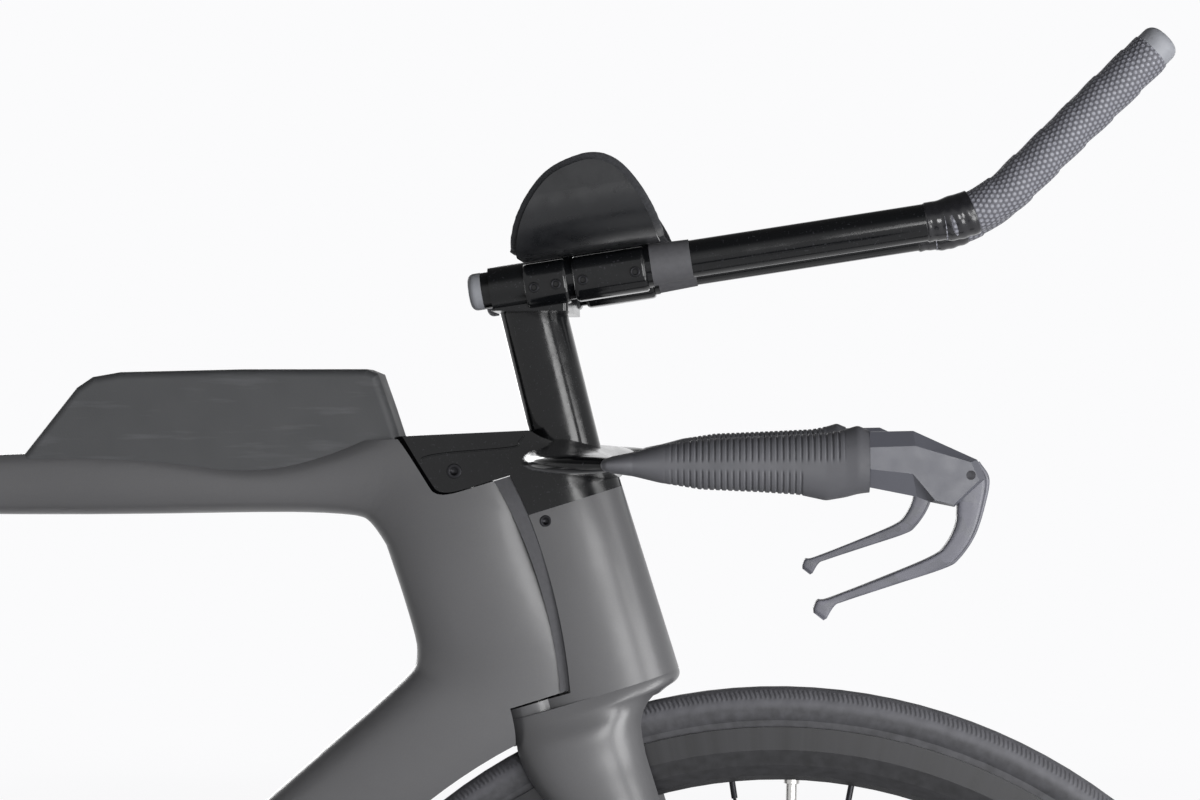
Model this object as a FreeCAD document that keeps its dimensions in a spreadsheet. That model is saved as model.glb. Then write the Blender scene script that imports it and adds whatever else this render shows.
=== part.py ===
"""A time trial bike as a parametric document: every sub-part is one object and one STEP file.

Frame: +X forward, +Y to the bike's left, +Z up. The origin lies on the ground midway between the axles.
"""
import FreeCAD, Part
import math
import os

import Sketcher
from FreeCAD import Matrix, Placement, Rotation, Vector

doc = FreeCAD.newDocument("time_trial_bike")
sheet = doc.addObject("Spreadsheet::Sheet", "Sizes")

SIZES = {
    # common values
    "overrun": 40.0, "running_gap": 0.3, "seat_gap": 0.05, "shaft_fit": 0.04,
    # wheels
    "tyre_radius": 336.0, "tyre_width": 25.0, "tyre_wall": 2.3, "bead_depth": 4.0,
    "rim_radius": 312.5, "rim_depth": 33.0, "rim_width": 25.0, "rim_wall": 2.2, "rim_well_depth": 7.0,
    "rim_nose_width": 9.0, "rim_lip": 2.2, "spoke_count": 24, "spoke_radius": 1.0, "spoke_crossing": 30.0,
    "nipple_radius": 1.9, "nipple_length": 12.0, "nipple_hole_radius": 2.1,
    "valve_radius": 2.9, "valve_nut_radius": 4.6, "valve_nut_height": 2.4, "valve_length": 42.0,
    "front_wheel_turn": 1.4,
    "flange_radius": 24.0, "flange_inset": 3.0, "flange_thickness": 3.0, "hub_barrel_radius": 13.0,
    "hub_cap_radius": 10.0,
    "front_hub_length": 100.0, "front_flange_side": 27.0, "rear_hub_length": 142.0,
    "rear_flange_left": 33.0, "rear_flange_right": 19.0,
    "axle_radius": 6.0, "axle_bore_radius": 4.2, "axle_head_radius": 8.5, "axle_head_length": 4.0,
    "rotor_radius": 80.0, "rotor_track": 14.0, "rotor_thickness": 1.8, "rotor_hub_radius": 22.0,
    "rotor_arm_count": 6, "rotor_arm_width": 8.0, "rotor_slot_count": 24, "rotor_hole_radius": 2.0,
    # bike geometry
    "front_centre_run": 622.0, "chainstay_run": 404.0, "bb_drop": 72.0,
    "head_angle": 72.6, "fork_rake": 45.0, "seat_angle": 78.5,
    # main frame
    "triangle_top_height": 776.5, "head_rear": 60.4, "head_reach": 45.0,
    "down_tube_angle": 41.8, "down_tube_above_bb": 46.7, "seat_tube_ahead": 26.0,
    "corner_nose_radius": 27.0, "corner_chin_radius": 21.0, "corner_bb_radius": 30.0,
    "corner_seat_radius": 26.0,
    "top_tube_depth_rear": 31.0, "top_tube_depth_front": 46.0, "top_tube_width": 40.0,
    "nose_depth": 108.0, "chin_depth": 122.0, "chin_end_depth": 86.0, "head_width": 50.0,
    "down_tube_depth": 68.0, "down_tube_depth_low": 62.0, "down_tube_width": 48.0,
    "bb_corner_depth": 138.0, "bb_corner_width": 62.0,
    "seat_tube_depth_low": 72.0, "seat_tube_depth": 78.0, "seat_tube_depth_top": 62.0,
    "seat_tube_width": 37.0, "seat_corner_depth": 72.0, "tube_fullness": 2.6,
    "mast_height": 824.0, "mast_foot_height": 700.0, "mast_depth": 62.0,
    "tyre_gap_front": 5.5, "tyre_gap_rear": 6.5,
    "bb_shell_radius": 29.0, "bb_shell_length": 86.0, "bb_bore_radius": 23.0,
    "head_bottom": 357.9, "head_top": 492.5, "nose_radius_end": 30.0, "nose_radius_middle": 35.0,
    "fork_gap": 6.4, "stem_pocket_radius": 31.5, "stem_pocket_mouth": 39.0, "stem_pocket_height": 42.0,
    "stem_pocket_round": 8.0, "crown_pocket_radius": 28.7,
    "bottle_boss_spacing": 64.0, "bottle_boss_radius": 2.1, "bottle_boss_depth": 14.0,
    "bottle_boss_from_bb": 190.0,
    # headset and steerer
    "steerer_radius": 14.3, "steerer_wall": 2.2, "steerer_foot": 340.0, "steerer_top": 514.0,
    "bearing_radius": 20.9, "bearing_height": 7.0, "head_bore_radius": 16.5,
    # fork
    "fork_top": 466.5, "fork_front": 89.4, "fork_width": 49.0,
    "crown_radius": 22.4, "crown_rear": 22.0, "crown_gap": 1.4,
    "blade_front": 59.3, "blade_rear": 1.5, "crown_width": 68.0, "dropout_width": 117.0,
    "fork_slot_top": 35.0, "fork_fullness": 2.5, "dropout_radius": 14.0, "fork_tyre_gap": 4.5,
    "blade_foot_height": 4.0, "crown_foot": 312.0, "leg_top": 300.0,
    # stem
    "stem_width": 49.0, "stem_rear_radius": 29.5, "stem_floor_gap": 0.6, "stem_top_height": 828.5,
    "stem_top_tilt": 2.6, "stem_front": 89.4, "stem_back": 240.0, "stem_crest_back": 152.0,
    "stem_crest_front": 145.0, "stem_slope_end": 102.0, "stem_lip": 97.5, "stem_under": 80.0,
    "stem_crest_drop": 4.0, "stem_slope_drop": 19.0, "stem_lip_drop": 25.0,
    "stem_bolt_height": 505.5, "stem_bolt_back": 4.0, "fork_bolt_height": 460.0, "fork_bolt_ahead": 40.3,
    "bolt_radius": 4.2, "fork_bolt_radius": 3.4, "bolt_length": 6.0, "bolt_recess": 1.2, "bolt_socket": 2.4,
    "bolt_socket_depth": 2.5,
    # base bar
    "bar_reach": 195.0, "bar_back": 120.0, "bar_height": 811.0, "bar_bend_radius": 40.0,
    "wing_chord": 50.0, "wing_chord_tip": 44.0, "wing_thickness": 20.0,
    "wing_thickness_tip": 12.0, "bend_thickness": 8.0,
    "wing_tilt": 16.0, "bar_core_radius": 11.0, "bar_core_width": 22.0, "bar_front": 46.0,
    "grip_wall": 2.6, "grip_collar_height": 38.0, "grip_collar_width": 32.0,
    "chin_height": 350.0, "crown_low": 328.0,
    "riser_rear": 172.5, "riser_lean": 14.0, "riser_chord": 42.0, "riser_width": 32.0, "riser_top": 900.0,
    "riser_foot": 815.0,
    # extensions and arm rests
    "extension_spacing": 90.0, "extension_height": 939.0, "extension_tilt": 8.6, "extension_radius": 11.1,
    "extension_wall": 1.6, "extension_back": 178.0, "extension_bend": 121.0, "extension_rise": 44.4,
    "extension_bend_radius": 78.0, "extension_grip_length": 122.0,
    "holder_radius": 13.2, "holder_back": 173.0, "holder_front": 77.0, "bridge_height": 16.0,
    "bridge_length": 46.0, "bridge_overhang": 6.0,
    "sleeve_length": 24.0, "sleeve_radius": 12.6, "tape_radius": 13.1,
    "plug_length": 12.0, "plug_radius": 11.7, "rear_plug_length": 8.0,
    "cup_side": 77.0, "cup_half_run": 19.0, "cup_radius": 32.0, "cup_wall": 3.0, "cup_length": 82.0,
    "cup_middle": 110.0, "cup_height": 47.0, "cup_inner_height": 24.0, "cup_sink": 1.2, "pad_thickness": 6.5,
    "pad_thickness_end": 3.2, "pad_lip": 4.5,
    # brake levers
    "lever_body_length": 61.0, "lever_body_height": 41.0, "lever_body_width": 25.0, "lever_body_bevel": 5.0,
    "lever_slot_width": 11.6, "lever_width": 10.8, "lever_reach": 95.0, "lever_drop": 80.0,
    "lever_pivot_ahead": 99.0, "lever_pivot_height": 806.0, "lever_pin_radius": 2.5,
    "left_lever_reach_angle": 5.5, "lever_slot_round": 13.5,
    # storage box
    "box_rear": 478.0, "box_front": 231.0, "box_top": 866.0, "box_width": 36.0, "box_wall": 2.2,
    "box_edge": 5.0, "box_lid_height": 16.0, "box_floor": 800.0,
    # rear triangle
    "chainstay_height": 33.0, "chainstay_height_rear": 20.0,
    "chainstay_width": 15.0, "chainstay_width_rear": 7.0,
    "chainstay_side": 33.0, "chainstay_side_middle": 43.0, "seatstay_join": 392.0, "seatstay_back": 34.0,
    "seatstay_height": 27.0, "seatstay_height_rear": 17.0, "seatstay_width": 12.0,
    "seatstay_width_rear": 5.6, "seatstay_side": 9.0,
    "seatstay_side_tyre": 27.0, "dropout_plate": 8.0, "rear_dropout_radius": 15.0, "stay_fullness": 2.4,
    # seatpost and saddle
    "seatpost_ahead": -2.0, "seatpost_depth": 47.0, "seatpost_width": 24.0, "seatpost_fullness": 2.3,
    "seatpost_foot": 380.0, "seatpost_top": 690.0, "clamp_bolt_radius": 3.0,
    "saddle_nose": 18.0, "saddle_length": 245.0, "saddle_top": 1010.0, "saddle_rear_width": 132.0,
    "saddle_nose_width": 46.0, "saddle_cover_depth": 24.0, "saddle_shell_depth": 5.0, "saddle_split": 12.0,
    "saddle_split_length": 165.0, "rail_radius": 3.5, "rail_spacing": 44.0, "rail_height": 966.0,
    "rail_nose_spacing": 22.0, "clamp_length": 38.0, "clamp_width": 60.0, "clamp_plate": 8.0,
    # drivetrain
    "chain_pitch": 12.7, "chain_side": 46.5, "roller_radius": 3.85, "chain_inner_half": 1.1,
    "chain_plate": 0.8, "chain_plate_gap": 0.04, "chain_plate_radius": 4.2,
    "chain_waist": 3.0, "chain_pin_radius": 1.8,
    "tooth_height": 2.4, "tooth_thickness": 1.6, "tooth_tip": 1.2,
    "chainring_teeth": 54, "chainring_thickness": 2.0, "chainring_inner_radius": 84.0,
    "spider_arm_count": 4, "spider_arm_width": 16.0, "spider_hub_radius": 22.0, "spider_thickness": 3.6,
    "chainring_bolt_radius": 4.5, "chainring_bolt_circle": 91.0,
    "crank_length": 170.0, "crank_eye_radius": 15.0, "crank_root_radius": 21.0, "crank_thickness": 13.0,
    "crank_side": 61.0, "spindle_radius": 12.0, "spindle_wall": 2.5, "crank_turn": 0.0,
    "bb_cup_radius": 25.0, "bb_cup_width": 3.0, "bb_bearing_width": 9.0,
    "pedal_length": 88.0, "pedal_width": 62.0, "pedal_height": 17.0, "pedal_axle_radius": 6.5,
    "pedal_axle_length": 50.0, "pedal_gap": 8.0,
    "cog_count": 11, "cog_spacing": 3.9, "chain_cog": 5, "cog_body_radius": 17.0,
    "pulley_teeth": 11, "pulley_thickness": 1.8, "pulley_bore_radius": 3.0, "guide_ahead": 16.0,
    "guide_drop": 83.0, "cage_length": 58.0, "cage_plate": 2.2, "cage_plate_radius": 13.0, "cage_gap": 7.0,
    "cage_pivot_ahead": 13.0, "cage_pivot_lift": 20.0, "cage_angle": -78.0,
    "knuckle_radius": 9.5, "knuckle_width": 15.0,
    "hanger_drop": 30.0, "hanger_back": 9.0, "hanger_plate": 5.0, "hanger_radius": 9.0,
    "link_radius": 7.0, "link_width": 6.0, "link_pin_radius": 3.0, "link_lift": 12.6, "shift_back": 1.04,
    "shift_drop": 0.25,
    # brakes
    "front_rotor_side": 39.0, "rear_rotor_side": 52.0, "caliper_length": 46.0, "caliper_height": 32.0,
    "caliper_width": 18.0, "caliper_slot": 9.0, "caliper_radius": 70.0, "front_caliper_angle": 137.0,
    "rear_caliper_angle": 38.0, "pad_length": 24.0, "pad_height": 15.0, "pad_backing": 3.2, "pad_travel": 0.3,
    "caliper_edge": 4.0, "front_caliper_foot": 2.0, "rear_caliper_foot": 12.0,
}
ROW = 1
for alias, value in SIZES.items():
    sheet.set("A%d" % ROW, alias)
    sheet.set("B%d" % ROW, str(value))
    sheet.setAlias("B%d" % ROW, alias)
    ROW += 1
doc.recompute()


class Named:
    """The sheet's cells, read by their names."""

    def __getattr__(self, name):
        return float(sheet.get(name))


S = Named()


# Points and directions
ACROSS = Vector(0, 1, 0)
UP = Vector(0, 0, 1)
AHEAD = Vector(1, 0, 0)
WHEELBASE = S.front_centre_run + S.chainstay_run
FRONT_AXLE = Vector(WHEELBASE / 2, 0, S.tyre_radius)
REAR_AXLE = Vector(-WHEELBASE / 2, 0, S.tyre_radius)
BB = Vector(FRONT_AXLE.x - S.front_centre_run, 0, S.tyre_radius - S.bb_drop)
LEAN = math.radians(90 - S.head_angle)
STEER_UP = Vector(-math.sin(LEAN), 0, math.cos(LEAN))
STEER_AHEAD = Vector(math.cos(LEAN), 0, math.sin(LEAN))
STEER_FOOT = FRONT_AXLE - STEER_AHEAD * S.fork_rake
SEAT_UP = Vector(-math.cos(math.radians(S.seat_angle)), 0, math.sin(math.radians(S.seat_angle)))
SEAT_AHEAD = Vector(SEAT_UP.z, 0, -SEAT_UP.x)
DOWN_UP = Vector(math.cos(math.radians(S.down_tube_angle)), 0, math.sin(math.radians(S.down_tube_angle)))
DOWN_OUT = Vector(DOWN_UP.z, 0, -DOWN_UP.x)


def steer(along, ahead, side=0.0):
    """A point from its height along the steering axis, its lead ahead of it and its side."""
    return STEER_FOOT + STEER_UP * along + STEER_AHEAD * ahead + ACROSS * side


def seat(along, ahead, side=0.0):
    """A point from its distance up the seat tube's axis, its lead ahead of it and its side."""
    return BB + SEAT_UP * along + SEAT_AHEAD * ahead + ACROSS * side


def from_front(ahead, height, side=0.0):
    """A point from its distance ahead of the front axle, its height and its side."""
    return Vector(FRONT_AXLE.x + ahead, side, height)


def polar(radius, degrees):
    return radius * math.cos(math.radians(degrees)), radius * math.sin(math.radians(degrees))


def mirrored(shape):
    """The shape's twin on the other side of the bike."""
    return shape.mirror(Vector(0, 0, 0), ACROSS)


def both(shape):
    return Part.makeCompound([shape, mirrored(shape)])


# Solids
def ring_wire(centre, half_a, half_b, fullness=2.0, count=20):
    """A closed smooth superellipse round centre with the half axes half_a and half_b."""
    points = []
    for k in range(count):
        turn = 2 * math.pi * k / count
        c = math.copysign(abs(math.cos(turn)) ** (2 / fullness), math.cos(turn))
        s = math.copysign(abs(math.sin(turn)) ** (2 / fullness), math.sin(turn))
        points.append(centre + half_a * c + half_b * s)
    curve = Part.BSplineCurve()
    curve.interpolate(Points=points, PeriodicFlag=True, Parameters=[k / count for k in range(count + 1)])
    return Part.Wire([curve.toShape()])


def loft(wires):
    """A solid through the wires in order; low-degree spans keep uneven stations from swinging out."""
    return Part.makeLoft(wires, True, False, False, 2)


def rod(start, end, radius):
    return Part.makeCylinder(radius, (end - start).Length, start, end - start)


def pipe(start, end, radius, bore):
    return rod(start, end, radius).cut(rod(start, end, bore))


def slab(points, thickness):
    """The polygon through points, thickened evenly to both sides along Y."""
    face = Part.Face(Part.makePolygon(points + points[:1]))
    face.translate(ACROSS * (-thickness / 2))
    return face.extrude(ACROSS * thickness)


def block(centre, ahead, up, length, width, height):
    """A box about centre: length runs along ahead, height along up and width across."""
    box = Part.makeBox(length, width, height, Vector(-length / 2, -width / 2, -height / 2))
    side = up.cross(ahead)
    turn = Matrix(ahead.x, side.x, up.x, centre.x, ahead.y, side.y, up.y, centre.y,
                  ahead.z, side.z, up.z, centre.z, 0, 0, 0, 1)
    return box.transformed(turn)


def only(shape):
    """The one solid of a cut or fused shape."""
    return max(shape.Solids, key=lambda solid: solid.Volume)


def far_rim(solid, direction):
    """The circular edge that lies furthest along the direction."""
    return max((e for e in solid.Edges if e.isClosed()), key=lambda e: e.CenterOfMass.dot(direction))


def turned(points, origin, axis, ahead):
    """A solid of revolution: points are (along, radius) pairs about the axis through origin."""
    corners = [origin + axis * a + ahead * r for a, r in points]
    return Part.Face(Part.makePolygon(corners + corners[:1])).revolve(origin, axis, 360)


NODES = []


def add(label, shape):
    """A sub-part whose shape is set from the sheet's sizes."""
    feature = doc.addObject("Part::Feature", label)
    feature.Label = label
    feature.Shape = shape
    NODES.append(feature)
    return shape


# Main frame
def meet(p, d, q, e):
    """Where the line through p along d meets the line through q along e, in the bike's middle plane."""
    k = ((q.x - p.x) * e.z - (q.z - p.z) * e.x) / (d.x * e.z - d.z * e.x)
    return p + d * k


class Corner:
    """A rounded inner corner of the main triangle, with the rays that fan out from its centre."""

    def __init__(self, point, towards_before, towards_after, radius):
        bisector = (towards_before + towards_after).normalize()
        half = towards_before.getAngle(towards_after) / 2
        self.centre = point + bisector * (radius / math.sin(half))
        self.radius = radius
        first = (point + towards_before * (radius / math.tan(half))) - self.centre
        last = (point + towards_after * (radius / math.tan(half))) - self.centre
        self.first = first.normalize()
        self.last = last.normalize()
        self.middle = bisector * -1

    def section(self, ray, depth, width):
        inner = self.centre + ray * self.radius
        return tube_section(inner, ray, depth, width)


def tube_section(inner, outward, depth, width):
    half = outward * (depth / 2)
    return ring_wire(inner + half, half, ACROSS * (width / 2), S.tube_fullness)


def side_sections(start, end, outward, stations):
    """Sections on a straight side of the triangle, each with its place, depth and width."""
    return [tube_section(start + (end - start) * place_share, outward, depth, width)
            for place_share, depth, width in stations]


TOP_LINE = Vector(0, 0, S.triangle_top_height)
HEAD_LINE = steer(0, -S.head_rear)
DOWN_LINE = BB - DOWN_OUT * S.down_tube_above_bb
SEAT_LINE = seat(0, S.seat_tube_ahead)


def triangle_ring():
    """The closed ring of tubes round the main triangle, in lofts that share their end sections."""
    nose = Corner(meet(TOP_LINE, AHEAD, HEAD_LINE, STEER_UP), AHEAD * -1, STEER_UP * -1,
                  S.corner_nose_radius)
    chin = Corner(meet(HEAD_LINE, STEER_UP, DOWN_LINE, DOWN_UP), STEER_UP, DOWN_UP * -1,
                  S.corner_chin_radius)
    foot = Corner(meet(DOWN_LINE, DOWN_UP, SEAT_LINE, SEAT_UP), DOWN_UP, SEAT_UP, S.corner_bb_radius)
    top = Corner(meet(SEAT_LINE, SEAT_UP, TOP_LINE, AHEAD), SEAT_UP * -1, AHEAD, S.corner_seat_radius)
    head_depth = S.head_rear + S.head_reach
    rear_end = top.section(top.middle, S.seat_corner_depth, S.seat_tube_width)
    foot_end = foot.section(foot.middle, S.bb_corner_depth, S.bb_corner_width)
    along_top = side_sections(top.centre + top.last * top.radius, nose.centre + nose.first * nose.radius, UP, [
        (0.0, S.top_tube_depth_rear, S.seat_tube_width),
        (0.35, S.top_tube_depth_rear * 0.65 + S.top_tube_depth_front * 0.35, S.top_tube_width),
        (0.7, S.top_tube_depth_rear * 0.3 + S.top_tube_depth_front * 0.7, S.top_tube_width),
        (1.0, S.top_tube_depth_front, (S.top_tube_width + S.head_width) / 2)])
    along_head = side_sections(nose.centre + nose.last * nose.radius, chin.centre + chin.first * chin.radius,
                               STEER_AHEAD, [(0.0, head_depth, S.head_width), (1.0, head_depth, S.head_width)])
    along_down = side_sections(chin.centre + chin.last * chin.radius, foot.centre + foot.first * foot.radius,
                               DOWN_OUT, [
        (0.0, S.chin_end_depth, S.head_width), (0.12, S.down_tube_depth, S.down_tube_width),
        (0.5, S.down_tube_depth, S.down_tube_width), (0.8, S.down_tube_depth_low, S.down_tube_width),
        (1.0, S.down_tube_depth_low, S.bb_corner_width)])
    along_seat = side_sections(foot.centre + foot.last * foot.radius, top.centre + top.first * top.radius,
                               SEAT_AHEAD * -1, [
        (0.0, S.seat_tube_depth_low, S.bb_corner_width), (0.25, S.seat_tube_depth, S.seat_tube_width),
        (0.65, S.seat_tube_depth, S.seat_tube_width), (1.0, S.seat_tube_depth_top, S.seat_tube_width)])
    nose_middle = nose.section(nose.middle, S.nose_depth, S.head_width)
    chin_middle = chin.section(chin.middle, S.chin_depth, S.head_width)
    runs = [[rear_end] + along_top[:2], along_top[1:] + [nose_middle, along_head[0]],
            along_head + [chin_middle] + along_down[:3], along_down[2:] + [foot_end],
            [foot_end] + along_seat[:3], along_seat[2:] + [rear_end]]
    pieces = [loft(run) for run in runs]
    return pieces[0].fuse(pieces[1:])


def barrel(extra, bottom, top):
    """A barrel about the steering axis: the head's round nose, grown by extra, from bottom to top."""
    low = steer(S.head_bottom, S.nose_radius_end + extra)
    high = steer(S.head_top, S.nose_radius_end + extra)
    middle = steer((S.head_bottom + S.head_top) / 2, S.nose_radius_middle + extra)
    edges = [Part.Arc(low, middle, high).toShape(), Part.makeLine(high, steer(S.head_top, 0)),
             Part.makeLine(steer(S.head_top, 0), steer(S.head_bottom, 0)),
             Part.makeLine(steer(S.head_bottom, 0), low)]
    solid = Part.Face(Part.Wire(edges)).revolve(STEER_FOOT, STEER_UP, 360)
    if bottom > S.head_bottom or top < S.head_top:
        solid = solid.common(rod(steer(bottom, 0), steer(top, 0), S.nose_radius_middle * 2))
    return solid


def ahead_of_axis(bottom, top):
    """A wide block ahead of the steering axis, from bottom to top along it."""
    reach = S.fork_front * 2
    middle = steer((bottom + top) / 2, reach / 2)
    return block(middle, STEER_AHEAD, STEER_UP, reach, S.dropout_width * 2, top - bottom)


def above_top_tube():
    """The space over the top tube's upper line, carried on ahead over the head."""
    rear = Vector(BB.x, 0, S.triangle_top_height + S.top_tube_depth_rear)
    front = steer(S.head_top, -S.head_rear)
    front = Vector(front.x, 0, S.triangle_top_height + S.top_tube_depth_front)
    ahead = front + (front - rear) / 2
    high = UP * S.nose_depth
    return slab([rear, ahead, ahead + high, rear + high], S.dropout_width)


def wheel_space(axle, gap):
    side = ACROSS * S.dropout_width
    return rod(axle - side, axle + side, S.tyre_radius + gap)


def seatpost_wire(along, grow=0.0):
    return ring_wire(seat(along, S.seatpost_ahead), SEAT_AHEAD * (S.seatpost_depth / 2 + grow),
                     ACROSS * (S.seatpost_width / 2 + grow), S.seatpost_fullness)


def main_frame():
    along = (S.mast_height - BB.z) / SEAT_UP.z
    foot = (S.mast_foot_height - BB.z) / SEAT_UP.z
    mast = loft([tube_section(seat(k, S.seat_tube_ahead), SEAT_AHEAD * -1, S.mast_depth, S.seat_tube_width)
                 for k in (foot, along)])
    shell = rod(BB - ACROSS * (S.bb_shell_length / 2), BB + ACROSS * (S.bb_shell_length / 2), S.bb_shell_radius)
    solid = triangle_ring().fuse([mast, shell])
    reach = S.head_top + S.stem_pocket_height
    floor = Part.makeCone(S.stem_pocket_radius, S.stem_pocket_mouth, S.stem_pocket_height,
                          steer(S.head_top, 0), STEER_UP)
    floor = floor.makeFillet(S.stem_pocket_round, [far_rim(floor, STEER_UP * -1)])
    cuts = [
        wheel_space(FRONT_AXLE, S.tyre_gap_front), wheel_space(REAR_AXLE, S.tyre_gap_rear),
        ahead_of_axis(S.head_bottom, S.head_top).cut(barrel(0, S.head_bottom, S.head_top)),
        above_top_tube().cut(mast), floor, rod(steer(reach, 0), steer(reach + S.overrun, 0), S.stem_pocket_mouth),
        ahead_of_axis(S.head_top, reach + S.overrun),
        ahead_of_axis(S.steerer_foot - S.overrun, S.head_bottom),
        rod(steer(S.steerer_foot - S.overrun, 0), steer(S.head_bottom, 0), S.crown_pocket_radius),
        rod(steer(S.head_bottom, 0), steer(S.head_top, 0), S.head_bore_radius),
        rod(BB - ACROSS * S.bb_shell_length, BB + ACROSS * S.bb_shell_length, S.bb_bore_radius),
        loft([seatpost_wire(S.seatpost_foot - S.seat_gap, S.seat_gap), seatpost_wire(along + S.overrun, S.seat_gap)]),
    ]
    for low in (S.head_bottom, S.head_top - S.bearing_height):
        cuts.append(rod(steer(low, 0), steer(low + S.bearing_height, 0), S.bearing_radius))
    for step in (0, 1):
        mouth = DOWN_LINE + DOWN_UP * (S.bottle_boss_from_bb + step * S.bottle_boss_spacing)
        cuts.append(rod(mouth - DOWN_OUT * S.overrun, mouth + DOWN_OUT * S.bottle_boss_depth, S.bottle_boss_radius))
    return only(solid.cut(cuts))


# Fork and steering
def fork_section(along, rear, front, width):
    half = STEER_AHEAD * ((front - rear) / 2)
    return ring_wire(steer(along, (front + rear) / 2), half, ACROSS * (width / 2), S.fork_fullness)


def between(low, high, place_share):
    return low + (high - low) * place_share


# down the blades, how much of the crown's rear they still carry
BLADE_SHARES = [(0.0, 0.9), (0.07, 0.6), (0.14, 0.25), (0.2, 0.1), (0.5, 0.0), (0.8, 0.0), (1.0, 0.0)]


def fork_blades():
    """The fork's outer shape: a straight nose ahead of the head, an edge under it, then both blades."""
    dropout_rear = S.fork_rake - S.dropout_radius
    dropout_front = S.fork_rake + S.dropout_radius
    wide = between(S.fork_width, S.crown_width, 0.5)
    nose = loft([fork_section(S.fork_top, 0, S.fork_front, S.fork_width),
                 fork_section(S.chin_height, 0, S.fork_front, wide)])
    wires = [fork_section(S.chin_height + S.running_gap, -S.crown_rear, S.fork_front - S.running_gap,
                          wide - S.running_gap)]
    for place_share, front_share in ((0.68, 0.87), (0.32, 0.31), (0.0, 0.12)):
        wires.append(fork_section(between(S.crown_low, S.chin_height, place_share), -S.crown_rear,
                                  between(S.blade_front, S.fork_front, front_share),
                                  between(S.crown_width, wide, place_share)))
    for place_share, rear_share in BLADE_SHARES:
        rear = between(S.blade_rear, dropout_rear, place_share)
        wires.append(fork_section(between(S.crown_foot, S.blade_foot_height, place_share),
                                  between(rear, -S.crown_rear, rear_share),
                                  between(S.blade_front, dropout_front, place_share),
                                  between(S.crown_width, S.dropout_width, place_share)))
    return nose.fuse(loft(wires))


def fork_slot():
    """The space between the blades, as wide as the hub below and the tyre's room above."""
    top = S.crown_foot
    low = S.blade_foot_height + S.dropout_radius
    deep = -S.dropout_radius - S.overrun
    half_top = S.fork_slot_top / 2
    half_low = S.front_hub_length / 2
    outline = [(top + S.overrun * 2, -half_top), (top, -half_top), (low, -half_low), (deep, -half_low),
               (deep, half_low), (low, half_low), (top, half_top), (top + S.overrun * 2, half_top)]
    corners = [steer(along, -S.fork_front, side) for along, side in outline]
    prism = Part.Face(Part.makePolygon(corners + corners[:1])).extrude(STEER_AHEAD * (S.fork_front * 3))
    return prism.common(wheel_space(FRONT_AXLE, S.fork_tyre_gap))


def fork():
    """The crown with its nose, and the two legs below it."""
    crown_top = S.head_bottom - S.crown_gap
    crown = rod(steer(S.crown_foot, 0), steer(crown_top, 0), S.crown_radius)
    solid = fork_blades().fuse(crown)
    half = ACROSS * (S.dropout_width / 2)
    solid = solid.fuse(rod(FRONT_AXLE - half, FRONT_AXLE + half, S.dropout_radius))
    cuts = [fork_slot(), barrel(S.fork_gap, S.head_bottom, S.head_top),
            rod(steer(crown_top, 0), steer(S.head_bottom, 0), S.nose_radius_end + S.fork_gap),
            rod(steer(S.steerer_foot, 0), steer(S.steerer_top, 0), S.steerer_radius),
            rod(FRONT_AXLE - half * 2, FRONT_AXLE + half * 2, S.axle_radius), fork_bolt()[0]]
    whole = only(solid.cut(cuts))
    below = block(steer(S.leg_top / 2 - S.dropout_radius, 0), STEER_AHEAD, STEER_UP, S.fork_front * 4,
                  S.dropout_width * 2, S.leg_top + S.dropout_radius * 2)
    return only(whole.cut(below)), whole.common(below)


def head_gap_seal():
    """A rubber boot on the head's nose that fills the gap ahead of it, clear of the fork."""
    low = S.head_bottom + S.running_gap
    high = S.head_top
    skin = barrel(S.fork_gap - S.running_gap * 2, low, high).cut(barrel(0, S.head_bottom, S.head_top))
    face = block(steer((low + high) / 2, S.nose_radius_middle), STEER_AHEAD, STEER_UP,
                 S.nose_radius_middle * 2 - S.head_bore_radius, S.head_width - S.running_gap * 4, high - low)
    return only(skin.common(face))


def headset_bearings():
    rings = [pipe(steer(low, 0), steer(low + S.bearing_height, 0), S.bearing_radius, S.steerer_radius + S.shaft_fit)
             for low in (S.head_bottom, S.head_top - S.bearing_height)]
    return Part.makeCompound(rings)


def stem_side():
    """The stem's outline from the side, with its tall back, its crest and its sloping front."""
    crest = S.stem_top_height
    rise = S.stem_front * math.tan(math.radians(S.stem_top_tilt))
    deep = crest - S.stem_front
    outline = [(S.stem_back, deep), (S.stem_back, crest - rise), (S.stem_crest_back, crest),
               (S.stem_crest_front, crest - S.stem_crest_drop), (S.stem_slope_end, crest - S.stem_slope_drop),
               (S.stem_lip, crest - S.stem_lip_drop), (S.stem_under, deep)]
    return slab([from_front(-back, height) for back, height in outline], S.stem_width - S.running_gap)


def stem(bar):
    low = S.head_top + S.stem_floor_gap
    knob = Part.makeCone(S.stem_rear_radius, S.stem_rear_radius + S.stem_pocket_mouth - S.stem_pocket_radius,
                         S.stem_pocket_height, steer(low, 0), STEER_UP)
    knob = knob.makeFillet(S.stem_pocket_round, [far_rim(knob, STEER_UP * -1)])
    high = low + S.stem_pocket_height
    nose = loft([fork_section(k, 0, S.stem_front, S.stem_width) for k in (S.fork_top, high)])
    neck = block(steer((low + high) / 2, S.stem_front / 4), STEER_AHEAD, STEER_UP, S.stem_front / 2,
                 S.stem_width, high - low)
    solid = knob.fuse([nose, neck]).common(stem_side())
    cuts = [barrel(S.fork_gap, S.head_bottom, S.head_top),
            rod(steer(S.head_top, 0), steer(low, 0), S.nose_radius_end + S.fork_gap),
            rod(steer(S.head_bottom, 0), steer(S.steerer_top, 0), S.steerer_radius), bar, stem_bolt()[0]]
    return only(solid.cut(cuts))


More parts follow.
